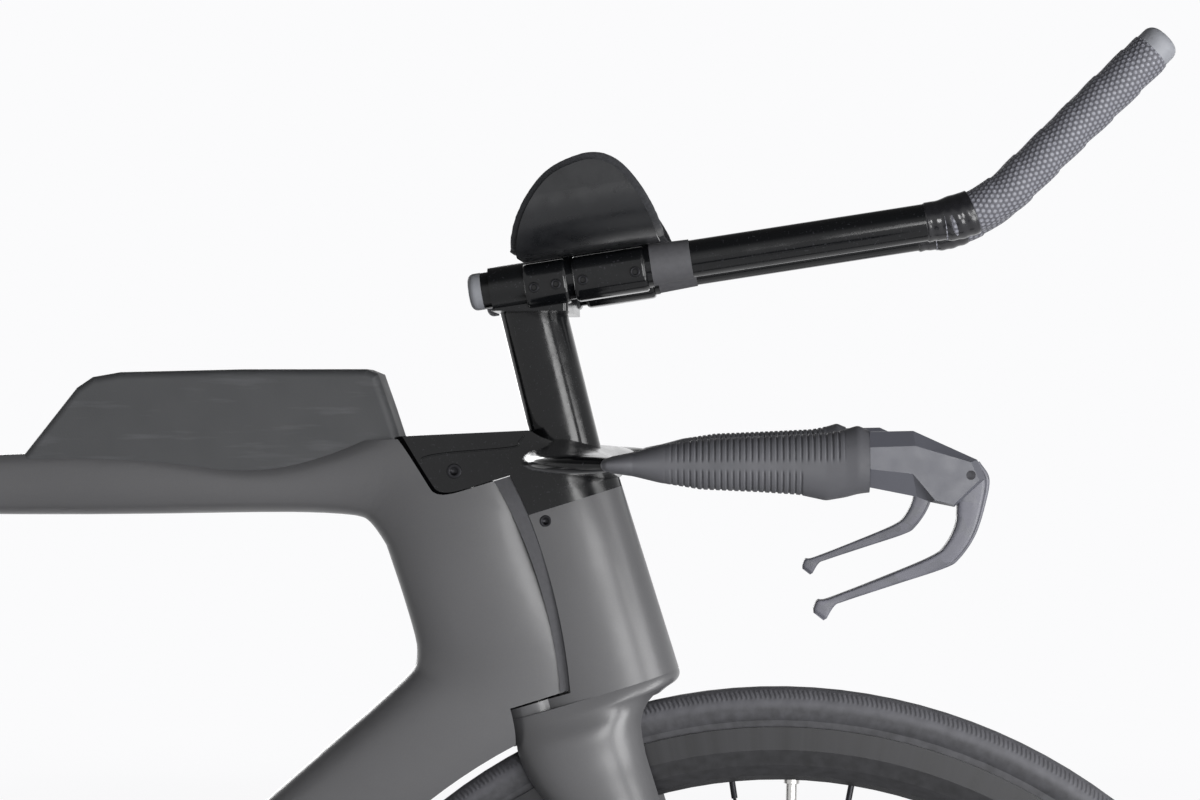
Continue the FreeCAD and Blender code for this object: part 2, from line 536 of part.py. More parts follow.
def side_bolt(spot, radius):
    """A hole in the right side and the sunk bolt that fills its foot, with a six-sided socket."""
    face = spot - ACROSS * (S.stem_width / 2)
    top = face + ACROSS * S.bolt_recess
    end = top + ACROSS * S.bolt_length
    corners = [on_wheel(top, S.bolt_socket, 60 * k, 0) for k in range(6)]
    socket = Part.Face(Part.makePolygon(corners + corners[:1])).extrude(ACROSS * S.bolt_socket_depth)
    return rod(face - ACROSS * S.overrun, end, radius), rod(top, end, radius).cut(socket)


def stem_bolt():
    return side_bolt(steer(S.stem_bolt_height, -S.stem_bolt_back), S.bolt_radius)


def fork_bolt():
    return side_bolt(steer(S.fork_bolt_height, S.fork_bolt_ahead), S.fork_bolt_radius)


def cockpit_bolts():
    """The bolts of stem and fork and the pins that the brake levers turn on."""
    pieces = [stem_bolt()[1], fork_bolt()[1]]
    half = ACROSS * (S.lever_body_width / 2)
    for side in (-S.bar_reach, S.bar_reach):
        pieces.append(rod(lever_pin(side) - half, lever_pin(side) + half, S.lever_pin_radius))
    return Part.makeCompound(pieces)


# Base bar
def bar_station(place_share, grow=0.0):
    """A section of the right half of the base bar: 0 at the middle, 1 at the front end of the grip."""
    bend_at, bend_end = 0.4, 0.62
    tip_y = S.bar_reach - S.bar_bend_radius
    if place_share <= bend_at:
        k = place_share / bend_at
        centre = from_front(-S.bar_back, S.bar_height, -tip_y * k)
        tilt = math.radians(S.wing_tilt * (1 - k))
        chord = between(S.wing_chord, S.wing_chord_tip, k)
        thick = between(S.wing_thickness, S.wing_thickness_tip, k)
        half_a = Vector(math.cos(tilt), 0, -math.sin(tilt)) * (chord / 2 + grow)
        return ring_wire(centre, half_a, UP * (thick / 2 + grow), 2.3)
    k = min(1.0, (place_share - bend_at) / (bend_end - bend_at))
    c, s = polar(S.bar_bend_radius, 90 * k)
    run = max(0.0, (place_share - bend_end) / (1 - bend_end))
    start = S.bar_bend_radius - S.bar_back
    centre = from_front(start - c + run * (S.bar_front - start), S.bar_height, -tip_y - s)
    width = between(S.wing_chord_tip, S.bar_core_width, k)
    thick = between(S.wing_thickness_tip, S.bend_thickness, k)
    swell = math.sin(math.pi / 2 * min(1.0, run / 0.29))
    thick = between(thick, S.bar_core_radius * 2, swell)
    out = Vector(c, s, 0).normalize()
    return ring_wire(centre, out * (width / 2 + grow), UP * (thick / 2 + grow), 2.3 - 0.3 * k)


def base_bar():
    shares = (0.0, 0.2, 0.4, 0.47, 0.545, 0.62, 0.663, 0.69, 0.73, 0.86, 1.0)
    half = loft([bar_station(k) for k in shares])
    return only(half.fuse(mirrored(half)))


# along the grip, height above and below the bar's middle line, and width, in shares of length and collar
GRIP_SHARES = [(0.113, 0.56, 0.5, 0.85), (0.286, 0.74, 0.7, 0.85), (0.54, 0.82, 0.77, 0.85), (0.7, 0.87, 0.84, 0.85),
               (0.817, 0.9, 1.0, 0.86), (0.9, 1.0, 0.9, 0.93), (0.952, 1.12, 0.8, 1.0), (1.0, 0.98, 0.76, 1.0)]


def grip(bar):
    """One rubber hood over the bar's front, thin round the bend and flared to a collar at its front end."""
    start = S.bar_bend_radius - S.bar_back
    half = S.grip_collar_height / 2
    wires = [bar_station(0.575, S.grip_wall / 2), bar_station(0.62, S.grip_wall * 0.8)]
    for along, above, below, wide in GRIP_SHARES:
        centre = from_front(between(start, S.bar_front, along), S.bar_height + half * (above - below) / 2,
                            -S.bar_reach)
        wires.append(ring_wire(centre, ACROSS * (S.grip_collar_width / 2 * wide),
                               UP * (half * (above + below) / 2), 2.3))
    return only(loft(wires).cut(bar))


# Brake levers
BODY_SHARES = [(0.0, 0.0), (0.38, 0.012), (0.93, -0.36), (1.0, -0.6), (0.73, -0.97), (0.53, -0.91), (0.41, -0.84),
               (0.0, -0.72)]
PANEL_SHARES = [(0.0, -0.2), (0.39, -0.18), (0.87, -0.39), (0.94, -0.62), (0.72, -0.94), (0.56, -0.88),
                (0.37, -0.54), (0.0, -0.48)]
LEVER_BACK_SHARES = [(0.06, 0.1), (0.115, -0.02), (0.086, -0.2), (0.032, -0.4), (-0.053, -0.554),
                     (-0.136, -0.621), (-0.42, -0.735), (-0.695, -0.844), (-0.75, -0.876), (-0.806, -0.983)]
LEVER_FRONT_SHARES = [(-0.881, -0.915), (-0.85, -0.838), (-0.788, -0.824), (-0.5, -0.69), (-0.219, -0.548),
                      (-0.136, -0.469), (-0.08, -0.335), (-0.07, -0.2), (-0.075, -0.05)]


def lever_point(share, side):
    return from_front(S.lever_pivot_ahead + share[0] * S.lever_reach,
                      S.lever_pivot_height + share[1] * S.lever_drop, side)


def smooth(points):
    curve = Part.BSplineCurve()
    curve.interpolate(points)
    return curve.toShape()


def brake_lever(side):
    """A hooked blade below its pivot, in one plane at the given side."""
    back = [lever_point(p, side) for p in LEVER_BACK_SHARES]
    front = [lever_point(p, side) for p in LEVER_FRONT_SHARES]
    edges = [smooth(back), Part.makeLine(back[-1], front[0]), smooth(front), Part.makeLine(front[-1], back[0])]
    face = Part.Face(Part.Wire(edges))
    face.translate(ACROSS * (-S.lever_width / 2))
    blade = face.extrude(ACROSS * S.lever_width)
    pin = lever_pin(side)
    blade = blade.fuse(rod(pin - ACROSS * (S.lever_width / 2), pin + ACROSS * (S.lever_width / 2),
                           S.lever_pin_radius * 2.6))
    return only(blade.cut(rod(pin - ACROSS * S.lever_width, pin + ACROSS * S.lever_width,
                              S.lever_pin_radius + S.shaft_fit)))


def lever_pin(side):
    return from_front(S.lever_pivot_ahead, S.lever_pivot_height, side)


def body_wire(shares, side):
    top = S.bar_height + S.grip_collar_height / 2 - S.running_gap * 4
    points = [from_front(S.bar_front + a * S.lever_body_length, top + b * S.lever_body_height, side - S.bar_reach)
              for a, b in shares]
    return Part.makePolygon(points + points[:1])


def lever_body():
    """A faceted housing on the bar's end, a flat panel on each side, slotted for the blade."""
    half = S.lever_body_width / 2
    edge = half - S.lever_body_bevel
    wires = [body_wire(PANEL_SHARES, -half), body_wire(BODY_SHARES, -edge), body_wire(BODY_SHARES, edge),
             body_wire(PANEL_SHARES, half)]
    solid = Part.makeLoft(wires, True, True)
    pin = lever_pin(-S.bar_reach)
    slot = rod(pin - ACROSS * (S.lever_slot_width / 2), pin + ACROSS * (S.lever_slot_width / 2), S.lever_slot_round)
    away = block(pin + AHEAD * S.lever_body_length / 2, AHEAD, UP, S.lever_body_length, S.lever_slot_width,
                 S.lever_slot_round * 2)
    under = block(pin - UP * S.lever_body_height / 2, AHEAD, UP, S.lever_slot_round * 2, S.lever_slot_width,
                  S.lever_body_height)
    reach = ACROSS * S.lever_body_width
    return only(solid.cut([slot, away, under, rod(pin - reach, pin + reach, S.lever_pin_radius)]))


# Risers, extensions and arm rests
def riser_post(stem_solid, bar):
    lean = math.tan(math.radians(S.riser_lean))
    wires = []
    for height in (S.riser_foot, S.riser_top):
        middle = S.riser_chord / 2 - S.riser_rear + (S.riser_top - height) * lean
        wires.append(ring_wire(from_front(middle, height), AHEAD * (S.riser_chord / 2),
                               ACROSS * (S.riser_width / 2), 2.4))
    return only(loft(wires).cut([stem_solid, bar]))


EXTENSION_AHEAD = Vector(math.cos(math.radians(S.extension_tilt)), 0, math.sin(math.radians(S.extension_tilt)))
EXTENSION_UP = Vector(-EXTENSION_AHEAD.z, 0, EXTENSION_AHEAD.x)


def on_extension(ahead, up=0.0):
    """A point on the right extension's straight part, by its distance ahead of the front axle."""
    rise = ahead * math.tan(math.radians(S.extension_tilt))
    return from_front(ahead, S.extension_height + rise, -S.extension_spacing / 2) + EXTENSION_UP * up


def extension_path(start, length):
    """A straight run, one bend and a straight grip, as far as length past the bend's end."""
    rise = math.radians(S.extension_rise)
    out = Vector(math.cos(rise), 0, math.sin(rise))
    corner = on_extension(S.extension_bend)
    half = (rise - math.radians(S.extension_tilt)) / 2
    reach = S.extension_bend_radius * math.tan(half)
    enter = corner - EXTENSION_AHEAD * reach
    leave = corner + out * reach
    middle_out = (out - EXTENSION_AHEAD).normalize()
    middle = corner + middle_out * (S.extension_bend_radius / math.cos(half) - S.extension_bend_radius)
    end = leave + out * length
    begin = enter if start is None else start
    edges = [Part.Arc(enter, middle, leave).toShape(), Part.makeLine(leave, end)]
    if start is not None:
        edges.insert(0, Part.makeLine(begin, enter))
    direction = EXTENSION_AHEAD
    return Part.Wire(edges), begin, direction, end, out


def swept(path, start, direction, radius):
    circle = Part.Wire([Part.makeCircle(radius, start, direction)])
    return path.makePipeShell([circle], True, False)


def extension():
    path, start, direction, _, _ = extension_path(on_extension(-S.extension_back), S.extension_grip_length
                                                  - S.plug_length)
    outer = swept(path, start, direction, S.extension_radius)
    return only(outer.cut(swept(path, start, direction, S.extension_radius - S.extension_wall)))


def bar_tape():
    path, start, direction, _, _ = extension_path(None, S.extension_grip_length - S.plug_length)
    outer = swept(path, start, direction, S.tape_radius)
    return only(outer.cut(swept(path, start, direction, S.extension_radius)))


def bar_plugs():
    """The caps on the front ends and the domed plugs in the rear ends of the right extension."""
    _, _, _, end, out = extension_path(None, S.extension_grip_length - S.plug_length)
    cap = rod(end, end + out * S.plug_length, S.plug_radius)
    cap = cap.makeFillet(S.plug_length / 2, [far_rim(cap, out)])
    start = on_extension(-S.extension_back)
    plug = rod(start, start - EXTENSION_AHEAD * S.rear_plug_length, S.extension_radius)
    plug = plug.makeFillet(S.rear_plug_length / 2, [far_rim(plug, EXTENSION_AHEAD * -1)])
    return [cap, plug, mirrored(cap), mirrored(plug)]


def extension_holder():
    return pipe(on_extension(-S.holder_back), on_extension(-S.holder_front), S.holder_radius, S.extension_radius)


def extension_sleeve():
    start = on_extension(-S.holder_front)
    cone = Part.makeCone(S.sleeve_radius, S.extension_radius + S.running_gap * 2, S.sleeve_length, start, EXTENSION_AHEAD)
    return cone.cut(rod(start, start + EXTENSION_AHEAD * S.sleeve_length, S.extension_radius))


def extension_bridge():
    """A saddle across the riser's top under both holders."""
    middle = from_front(S.bridge_length / 2 - S.riser_rear, S.riser_top + S.bridge_height / 2)
    bar = block(middle, AHEAD, UP, S.bridge_length, S.extension_spacing + S.bridge_overhang * 2, S.bridge_height)
    bar = bar.makeFillet(S.bridge_overhang / 2, [e for e in bar.Edges if e.Length < S.bridge_height + S.seat_gap])
    reach = S.bridge_length
    cuts = [rod(on_extension(-S.holder_back - reach), on_extension(reach), S.holder_radius)]
    cuts.append(mirrored(cuts[0]))
    return only(bar.cut(cuts))


def cup_middle():
    """The centre of the arm cup's rounds, over the middle of its seat on the right holder."""
    middle = on_extension(-S.cup_middle, S.holder_radius - S.cup_sink + S.cup_radius)
    return Vector(middle.x, -S.cup_side, middle.z)


def cup_wire(ahead, radius):
    """The arm cup's section: a flat floor between two quarter rounds and upright sides, closed above."""
    middle = cup_middle() + EXTENSION_AHEAD * ahead
    run = ACROSS * S.cup_half_run
    aside = ACROSS * radius
    down = EXTENSION_UP * -radius
    rise = EXTENSION_UP * S.cup_height
    part = math.sqrt(0.5)
    edges = []
    corners = []
    for sign in (-1, 1):
        edges.append(Part.Arc(middle + (run + aside) * sign, middle + run * sign + (aside * sign + down) * part,
                              middle + run * sign + down).toShape())
        corners.append((middle + (run + aside) * sign, middle + run * sign + down))
    edges.append(Part.makeLine(corners[0][1], corners[1][1]))
    edges.append(Part.makeLine(corners[1][0], corners[1][0] + rise))
    edges.append(Part.makeLine(corners[1][0] + rise, corners[0][0] + rise))
    edges.append(Part.makeLine(corners[0][0] + rise, corners[0][0]))
    return Part.Wire(Part.__sortEdges__(edges))


def cup_prism(radius):
    return loft([cup_wire(-S.cup_length, radius), cup_wire(S.cup_length, radius)])


DOME_SHARES = [(-1.0, 0.0), (-0.8, 0.42), (-0.585, 0.68), (-0.28, 0.9), (0.02, 0.985), (0.29, 1.0), (0.54, 0.9),
               (0.72, 0.71), (0.87, 0.45), (0.97, 0.18), (1.0, 0.0)]


def dome(length, height, side_low, side_high):
    """An upright wall from the cup's floor, rounded like a fin with its crest ahead, between two sides."""
    base = on_extension(-S.cup_middle, S.holder_radius - S.cup_sink)
    low = [base + EXTENSION_AHEAD * (length / 2 * a) + EXTENSION_UP * (height * b) for a, b in DOME_SHARES]
    points = [Vector(p.x, side_low, p.z) for p in low]
    edges = [smooth(points), Part.makeLine(points[-1], points[0])]
    return Part.Face(Part.Wire(edges)).extrude(ACROSS * (side_high - side_low))


def cup_outline(grow):
    """The trimming block of cup and pad: a tall outer wing and a low inner one."""
    outer_side = -S.cup_side - S.cup_half_run - S.cup_radius * 2
    outer = dome(S.cup_length + grow * 2, S.cup_height + grow, outer_side, -S.cup_side)
    inner = dome(S.cup_length + grow * 2, S.cup_inner_height + grow, -S.cup_side, 0)
    return outer.fuse(inner)


def arm_cup():
    shell = cup_prism(S.cup_radius).cut(cup_prism(S.cup_radius - S.cup_wall))
    seat_rod = rod(on_extension(-S.holder_back), on_extension(S.sleeve_length - S.holder_front), S.holder_radius)
    return only(shell.common(cup_outline(0)).cut(seat_rod))


PAD_SHARES = [(-1.0, 0.0), (-0.8, 0.62), (-0.4, 0.94), (0.0, 1.0), (0.4, 0.94), (0.8, 0.62), (1.0, 0.0)]


def arm_pad():
    """A foam lining with a crowned face: thick in its middle and drawn in towards both ends."""
    outer = S.cup_radius - S.cup_wall - S.seat_gap
    half = S.cup_length / 2 + S.pad_lip + S.running_gap
    hollow = loft([cup_wire(place_share * half, outer - between(S.pad_thickness_end, S.pad_thickness, thick_share))
                   for place_share, thick_share in PAD_SHARES])
    return only(cup_prism(outer).common(cup_outline(S.pad_lip)).cut(hollow))


# Storage box on the top tube
BOX_SHARES = [(0.0, 0.0), (0.05, 0.22), (0.18, 0.83), (0.22, 0.93), (0.29, 0.975), (0.6, 1.0), (0.91, 1.0),
              (0.94, 0.955), (0.97, 0.64), (1.0, 0.3), (1.0, 0.0)]


def storage_boxes(frame_solid):
    """The box's open body and the lid that closes it, seated on the top tube."""
    length = S.box_rear - S.box_front
    height = S.box_top - S.box_floor
    points = [from_front(a * length - S.box_rear, S.box_floor + b * height) for a, b in BOX_SHARES]
    outer = slab(points, S.box_width)
    long_edges = [e for e in outer.Edges if abs(e.Vertexes[0].Y - e.Vertexes[-1].Y) < S.seat_gap]
    outer = outer.makeFillet(S.box_edge, long_edges)
    wire = Part.makePolygon(points + points[:1]).makeOffset2D(-S.box_wall)
    inner = Part.Face(wire).extrude(ACROSS * (S.box_width - S.box_wall * 2))
    inner.translate(ACROSS * (S.box_wall - S.box_width / 2))
    split = S.box_top - S.box_lid_height
    middle = Vector(points[0].x + length / 2, 0, split + S.box_lid_height)
    above = block(middle, AHEAD, UP, length * 2, S.box_width * 2, S.box_lid_height * 2)
    room = stem_room(0)
    inner = inner.cut(stem_room(S.box_wall))
    body = outer.cut([inner, above, frame_solid, room])
    lid = outer.common(above).cut(inner)
    return only(body), only(lid)


def stem_room(grow):
    """The round space that the stem's back sweeps as it steers."""
    radius = S.stem_rear_radius + S.stem_pocket_mouth - S.stem_pocket_radius + S.running_gap * 3
    high = S.head_top + S.stem_floor_gap + S.stem_pocket_height + S.running_gap * 3
    return rod(steer(S.head_top, 0), steer(high + grow, 0), radius + grow)


# Rear triangle
def stay(stations):
    """A stay on the right side: each station has its point, height and width across the bike."""
    wires = []
    for k, (point, height, width) in enumerate(stations):
        after = stations[min(k + 1, len(stations) - 1)][0]
        before = stations[max(k - 1, 0)][0]
        along = (after - before).normalize()
        out = along.cross(ACROSS).normalize()
        side = out.cross(along).normalize()
        wires.append(ring_wire(point, out * (height / 2), side * (width / 2), S.stay_fullness))
    return loft(wires)


def rear_triangle(frame_solid):
    """Both chainstays, seatstays and dropouts, bonded to the main frame's seat tube and shell."""
    plate = S.rear_hub_length / 2 + S.dropout_plate / 2
    down = REAR_AXLE - BB

    def low(place_share, side, size_share):
        return (BB + down * place_share - ACROSS * side,
                between(S.chainstay_height, S.chainstay_height_rear, size_share),
                between(S.chainstay_width, S.chainstay_width_rear, size_share))

    chainstay = stay([low(0.02, S.chainstay_side, 0.0), low(0.2, S.chainstay_side, 0.1),
                      low(0.45, S.chainstay_side_middle, 0.5), low(0.78, plate - S.chainstay_width_rear, 0.9),
                      low(0.93, plate, 1.0), low(0.982, plate, 1.0)])
    start = seat(S.seatstay_join, -S.seatstay_back)
    run = REAR_AXLE - start

    def high(place_share, side, size_share):
        return (start + run * place_share - ACROSS * side,
                between(S.seatstay_height, S.seatstay_height_rear, size_share),
                between(S.seatstay_width, S.seatstay_width_rear, size_share))

    seatstay = stay([high(0.0, S.seatstay_side, 0.0), high(0.17, S.seatstay_side_tyre, 0.2),
                     high(0.5, between(S.seatstay_side_tyre, plate, 0.5), 0.6), high(0.88, plate, 1.0),
                     high(0.985, plate, 1.0)])
    inner = REAR_AXLE - ACROSS * (S.rear_hub_length / 2)
    dropout = rod(inner, inner - ACROSS * S.dropout_plate, S.rear_dropout_radius)
    solid = dropout.fuse(chainstay).fuse(seatstay)
    bore = rod(REAR_AXLE - ACROSS * S.rear_hub_length, REAR_AXLE, S.axle_radius)
    shell = rod(BB - ACROSS * S.bb_shell_length, BB + ACROSS * S.bb_shell_length, S.bb_shell_radius)
    side = only(solid.cut([bore, shell, frame_solid]))
    return both(side)


# Seatpost and saddle
def seatpost():
    return loft([seatpost_wire(S.seatpost_foot), seatpost_wire(S.seatpost_top)])


SADDLE_REAR = BB.x - S.saddle_nose - S.saddle_length
SADDLE_SHARES = [(0.0, 0.62, 0.0), (0.06, 0.9, 0.3), (0.16, 1.0, 0.0), (0.32, 0.86, -0.3), (0.5, 0.5, -0.2),
                 (0.68, 0.06, 0.0), (0.85, 0.0, 0.0), (0.95, 0.0, -0.3), (1.0, -0.2, -0.8)]
CUSHION_SHARES = [(0.0, 1.0), (0.36, 0.97), (0.68, 0.82), (0.91, 0.5), (1.0, 0.05), (0.93, -0.4), (0.78, -0.72),
                  (0.6, -0.93), (0.32, -1.0), (0.0, -1.0)]


def cushion_wire(centre, half_width, half_depth):
    """A padded section: crowned above, fullest below its middle and drawn in to a flat foot."""
    ring = CUSHION_SHARES + [(-a, b) for a, b in CUSHION_SHARES[-2:0:-1]]
    points = [centre + ACROSS * (a * half_width) + UP * (b * half_depth) for a, b in ring]
    count = len(points)
    curve = Part.BSplineCurve()
    curve.interpolate(Points=points, PeriodicFlag=True, Parameters=[k / count for k in range(count + 1)])
    return Part.Wire([curve.toShape()])


def saddle_form():
    """The saddle's whole outside: wide seat, narrow waist and a blunt nose."""
    depth = S.saddle_cover_depth + S.saddle_shell_depth
    wires = []
    for place_share, wide_share, lift_share in SADDLE_SHARES:
        width = between(S.saddle_nose_width, S.saddle_rear_width, wide_share)
        top = S.saddle_top + lift_share * S.saddle_shell_depth
        centre = Vector(SADDLE_REAR + place_share * S.saddle_length, 0, top - depth / 2)
        wires.append(cushion_wire(centre, width / 2, depth / 2))
    return loft(wires)


def saddle_slot(length):
    """The relief channel that opens at the nose."""
    nose = SADDLE_REAR + S.saddle_length + S.overrun
    reach = length + S.overrun
    middle = Vector(nose - reach / 2, 0, S.saddle_top)
    return block(middle, AHEAD, UP, reach, S.saddle_split, S.saddle_cover_depth * 4)


def under_cover():
    """The space below the plane where the saddle's cover meets its shell."""
    middle = Vector(SADDLE_REAR + S.saddle_length / 2, 0, S.saddle_top - S.saddle_cover_depth * 2)
    return block(middle, AHEAD, UP, S.saddle_length * 2, S.saddle_rear_width * 2, S.saddle_cover_depth * 2)


def saddle_cover():
    return only(saddle_form().cut([under_cover(), saddle_slot(S.saddle_split_length)]))


def saddle_shell(rails):
    shell = saddle_form().common(under_cover())
    return only(shell.cut([saddle_slot(S.saddle_split_length - S.saddle_split), rails]))


def saddle_rails():
    """Two bent rods, parallel in the clamp, drawn together at the nose and sunk in the shell at their ends."""
    end = S.saddle_top - S.saddle_cover_depth - S.rail_radius - S.running_gap
    rails = []
    for side in (-1, 1):
        half = side * S.rail_spacing / 2
        tip = side * S.rail_nose_spacing / 2
        points = [Vector(SADDLE_REAR + S.saddle_length * a, y, z) for a, y, z in (
            (0.1, half, end), (0.28, half, S.rail_height), (0.62, half, S.rail_height), (0.9, tip, end))]
        pieces = [rod(p, q, S.rail_radius) for p, q in zip(points, points[1:])]
        pieces += [Part.makeSphere(S.rail_radius, p) for p in points]
        rails.append(only(pieces[0].fuse(pieces[1:])))
    return Part.makeCompound(rails)


def saddle_clamp(rails, post):
    """The seatpost's head: a cradle under the rails, a plate over them and their two bolts."""
    top = seat(S.seatpost_top, S.seatpost_ahead)
    middle = Vector(top.x, 0, S.rail_height)
    cradle = block(Vector(middle.x, 0, (top.z + S.rail_height) / 2 - S.seat_gap), AHEAD, UP, S.clamp_length,
                   S.clamp_width, S.rail_height - top.z + S.seat_gap)
    cover = block(middle + UP * (S.clamp_plate / 2 + S.seat_gap), AHEAD, UP, S.clamp_length, S.clamp_width,
                  S.clamp_plate)
    bolts = []
    for side in (-1, 1):
        foot = Vector(middle.x + side * S.clamp_length * 0.3, 0, top.z)
        head = Vector(foot.x, 0, S.rail_height + S.clamp_plate * 1.5)
        bolts.append(only(rod(foot, head, S.clamp_bolt_radius).cut(post)))
    pieces = [only(cradle.cut([rails, post] + bolts)), only(cover.cut([rails] + bolts))]
    return Part.makeCompound(pieces + bolts)


# Wheels
def formula_body(label, placement):
    body = doc.addObject("PartDesign::Body", label)
    body.Label = label
    body.Placement = placement
    NODES.append(body)
    return body


def origin_plane(body, role):
    return next(feature for feature in body.Origin.OriginFeatures if feature.Role == role)


def bound_outline(body, name, plane, outline):
    """A closed sketch on one of the body's planes; each corner is a pair of formulas of the sheet."""
    sketch = body.newObject("Sketcher::SketchObject", name)
    sketch.AttachmentSupport = (origin_plane(body, plane), [""])
    sketch.MapMode = "FlatFace"
    points = [Vector(float(sheet.evalExpression(a)), float(sheet.evalExpression(b)), 0) for a, b in outline]
    count = len(points)
    for k in range(count):
        sketch.addGeometry(Part.LineSegment(points[k], points[(k + 1) % count]), False)
    for k in range(count):
        sketch.addConstraint(Sketcher.Constraint("Coincident", k, 2, (k + 1) % count, 1))
    for k, pair in enumerate(outline):
        for kind, value, formula in (("DistanceX", points[k].x, pair[0]), ("DistanceY", points[k].y, pair[1])):
            index = sketch.addConstraint(Sketcher.Constraint(kind, -1, 1, k, 1, value))
            sketch.renameConstraint(index, "%s%d" % (kind, k))
            sketch.setExpression("Constraints.%s%d" % (kind, k), sheet_formula(formula))
    return sketch


def sheet_formula(formula):
    """The formula with each of its names looked up in the sheet."""
    for name in sorted(SIZES, key=len, reverse=True):
        formula = formula.replace(name, "<<%s>>" % name.upper())
    for name in SIZES:
        formula = formula.replace("<<%s>>" % name.upper(), "Sizes." + name)
    return formula


def mirrored_outline(half):
    """The outline through half's corners and their twins across the wheel's middle plane."""
    return half + [("-(%s)" % a, b) for a, b in reversed(half)]


def rim(label, axle, turn):
    """A hollow rim with a tyre well, turned about the axle and drilled for its nipples."""
    spin = Rotation(ACROSS, turn).multiply(Rotation(UP, 90))
    body = formula_body(label, Placement(axle, spin))
    outer = mirrored_outline([
        ("rim_width/2-rim_lip", "rim_radius-rim_well_depth"), ("rim_width/2-rim_lip", "rim_radius"),
        ("rim_width/2", "rim_radius"), ("rim_width/2", "rim_radius-rim_depth*0.42"),
        ("rim_width*0.44", "rim_radius-rim_depth*0.7"), ("rim_width*0.33", "rim_radius-rim_depth*0.9"),
        ("rim_nose_width/2", "rim_radius-rim_depth")])
    profile = bound_outline(body, label + "_section", "XZ_Plane", outer)
    revolution = body.newObject("PartDesign::Revolution", label + "_turned")
    revolution.Profile = profile
    revolution.ReferenceAxis = (profile, ["H_Axis"])
    revolution.Angle = 360
    inner = mirrored_outline([
        ("rim_width/2-rim_lip-rim_wall", "rim_radius-rim_well_depth-rim_wall"),
        ("rim_width/2-rim_wall", "rim_radius-rim_depth*0.42"),
        ("rim_width*0.44-rim_wall", "rim_radius-rim_depth*0.7"),
        ("rim_width*0.33-rim_wall", "rim_radius-rim_depth*0.9"),
        ("rim_nose_width/4", "rim_radius-rim_depth+rim_wall")])
    hollow = bound_outline(body, label + "_hollow", "XZ_Plane", inner)
    groove = body.newObject("PartDesign::Groove", label + "_cavity")
    groove.Profile = hollow
    groove.ReferenceAxis = (hollow, ["H_Axis"])
    groove.Angle = 360
    doc.recompute()
    hole = body.newObject("Sketcher::SketchObject", label + "_nipple_hole")
    hole.AttachmentSupport = (origin_plane(body, "XY_Plane"), [""])
    hole.MapMode = "FlatFace"
    hole.addGeometry(Part.Circle(Vector(0, 0, 0), UP, S.nipple_hole_radius), False)
    hole.addConstraint(Sketcher.Constraint("Coincident", 0, 3, -1, 1))
    hole.renameConstraint(hole.addConstraint(Sketcher.Constraint("Radius", 0, S.nipple_hole_radius)), "hole")
    hole.setExpression("Constraints.hole", "Sizes.nipple_hole_radius")
    drill = body.newObject("PartDesign::Pocket", label + "_drilled")
    drill.Profile = hole
    drill.Reversed = True
    drill.setExpression("Length", "Sizes.rim_radius - Sizes.rim_depth * 0.8")
    doc.recompute()
    pattern = body.newObject("PartDesign::PolarPattern", label + "_holes")
    pattern.Originals = [drill]
    pattern.Axis = (profile, ["H_Axis"])
    pattern.Angle = 360
    pattern.setExpression("Occurrences", "Sizes.spoke_count")
    body.Tip = pattern
    doc.recompute()
    return body


def tyre(label, axle):
    """A hollow round ring whose beads sit between the rim's two lips."""
    spin = Placement(axle, Rotation(AHEAD, 90))
    outer = doc.addObject("Part::Torus", label + "_outside")
    outer.setExpression("Radius1", "Sizes.tyre_radius - Sizes.tyre_width / 2")
    outer.setExpression("Radius2", "Sizes.tyre_width / 2")
    inner = doc.addObject("Part::Torus", label + "_inside")
    inner.setExpression("Radius1", "Sizes.tyre_radius - Sizes.tyre_width / 2")
    inner.setExpression("Radius2", "Sizes.tyre_width / 2 - Sizes.tyre_wall")
    bead = doc.addObject("Part::Cylinder", label + "_bead")
    bead.setExpression("Radius", "Sizes.tyre_radius - Sizes.tyre_width / 2")
    bead.setExpression("Height", "Sizes.rim_width - Sizes.rim_lip * 2")
    bead.setExpression("Placement.Base.z", "Sizes.rim_lip - Sizes.rim_width / 2")
    whole = doc.addObject("Part::Fuse", label + "_whole")
    whole.Base = outer
    whole.Tool = bead
    foot = doc.addObject("Part::Cylinder", label + "_foot")
    foot.setExpression("Radius", "Sizes.rim_radius - Sizes.bead_depth")
    foot.setExpression("Height", "Sizes.tyre_width * 2")
    foot.setExpression("Placement.Base.z", "-Sizes.tyre_width")
    shell = doc.addObject("Part::Cut", label + "_shell")
    shell.Base = whole
    shell.Tool = inner
    ring = doc.addObject("Part::Cut", label)
    ring.Label = label
    ring.Base = shell
    ring.Tool = foot
    ring.Placement = spin
    NODES.append(ring)
    return ring


def on_wheel(axle, radius, degrees, side):
    """A point of a wheel by its radius, its angle from the top and its side."""
    across, up = polar(radius, 90 - degrees)
    return axle + Vector(across, side, up)


def flange_holes(turn, side_sign):
    """Rim and hub angles of one flange's spokes; every second spoke crosses the other way."""
    count = int(S.spoke_count)
    for k in range(count // 2):
        index = 2 * k + (0 if side_sign < 0 else 1)
        rim_angle = turn + 360.0 / count * (index + 0.5)
        lean = S.spoke_crossing * (1 if k % 2 else -1)
        yield rim_angle, rim_angle + lean


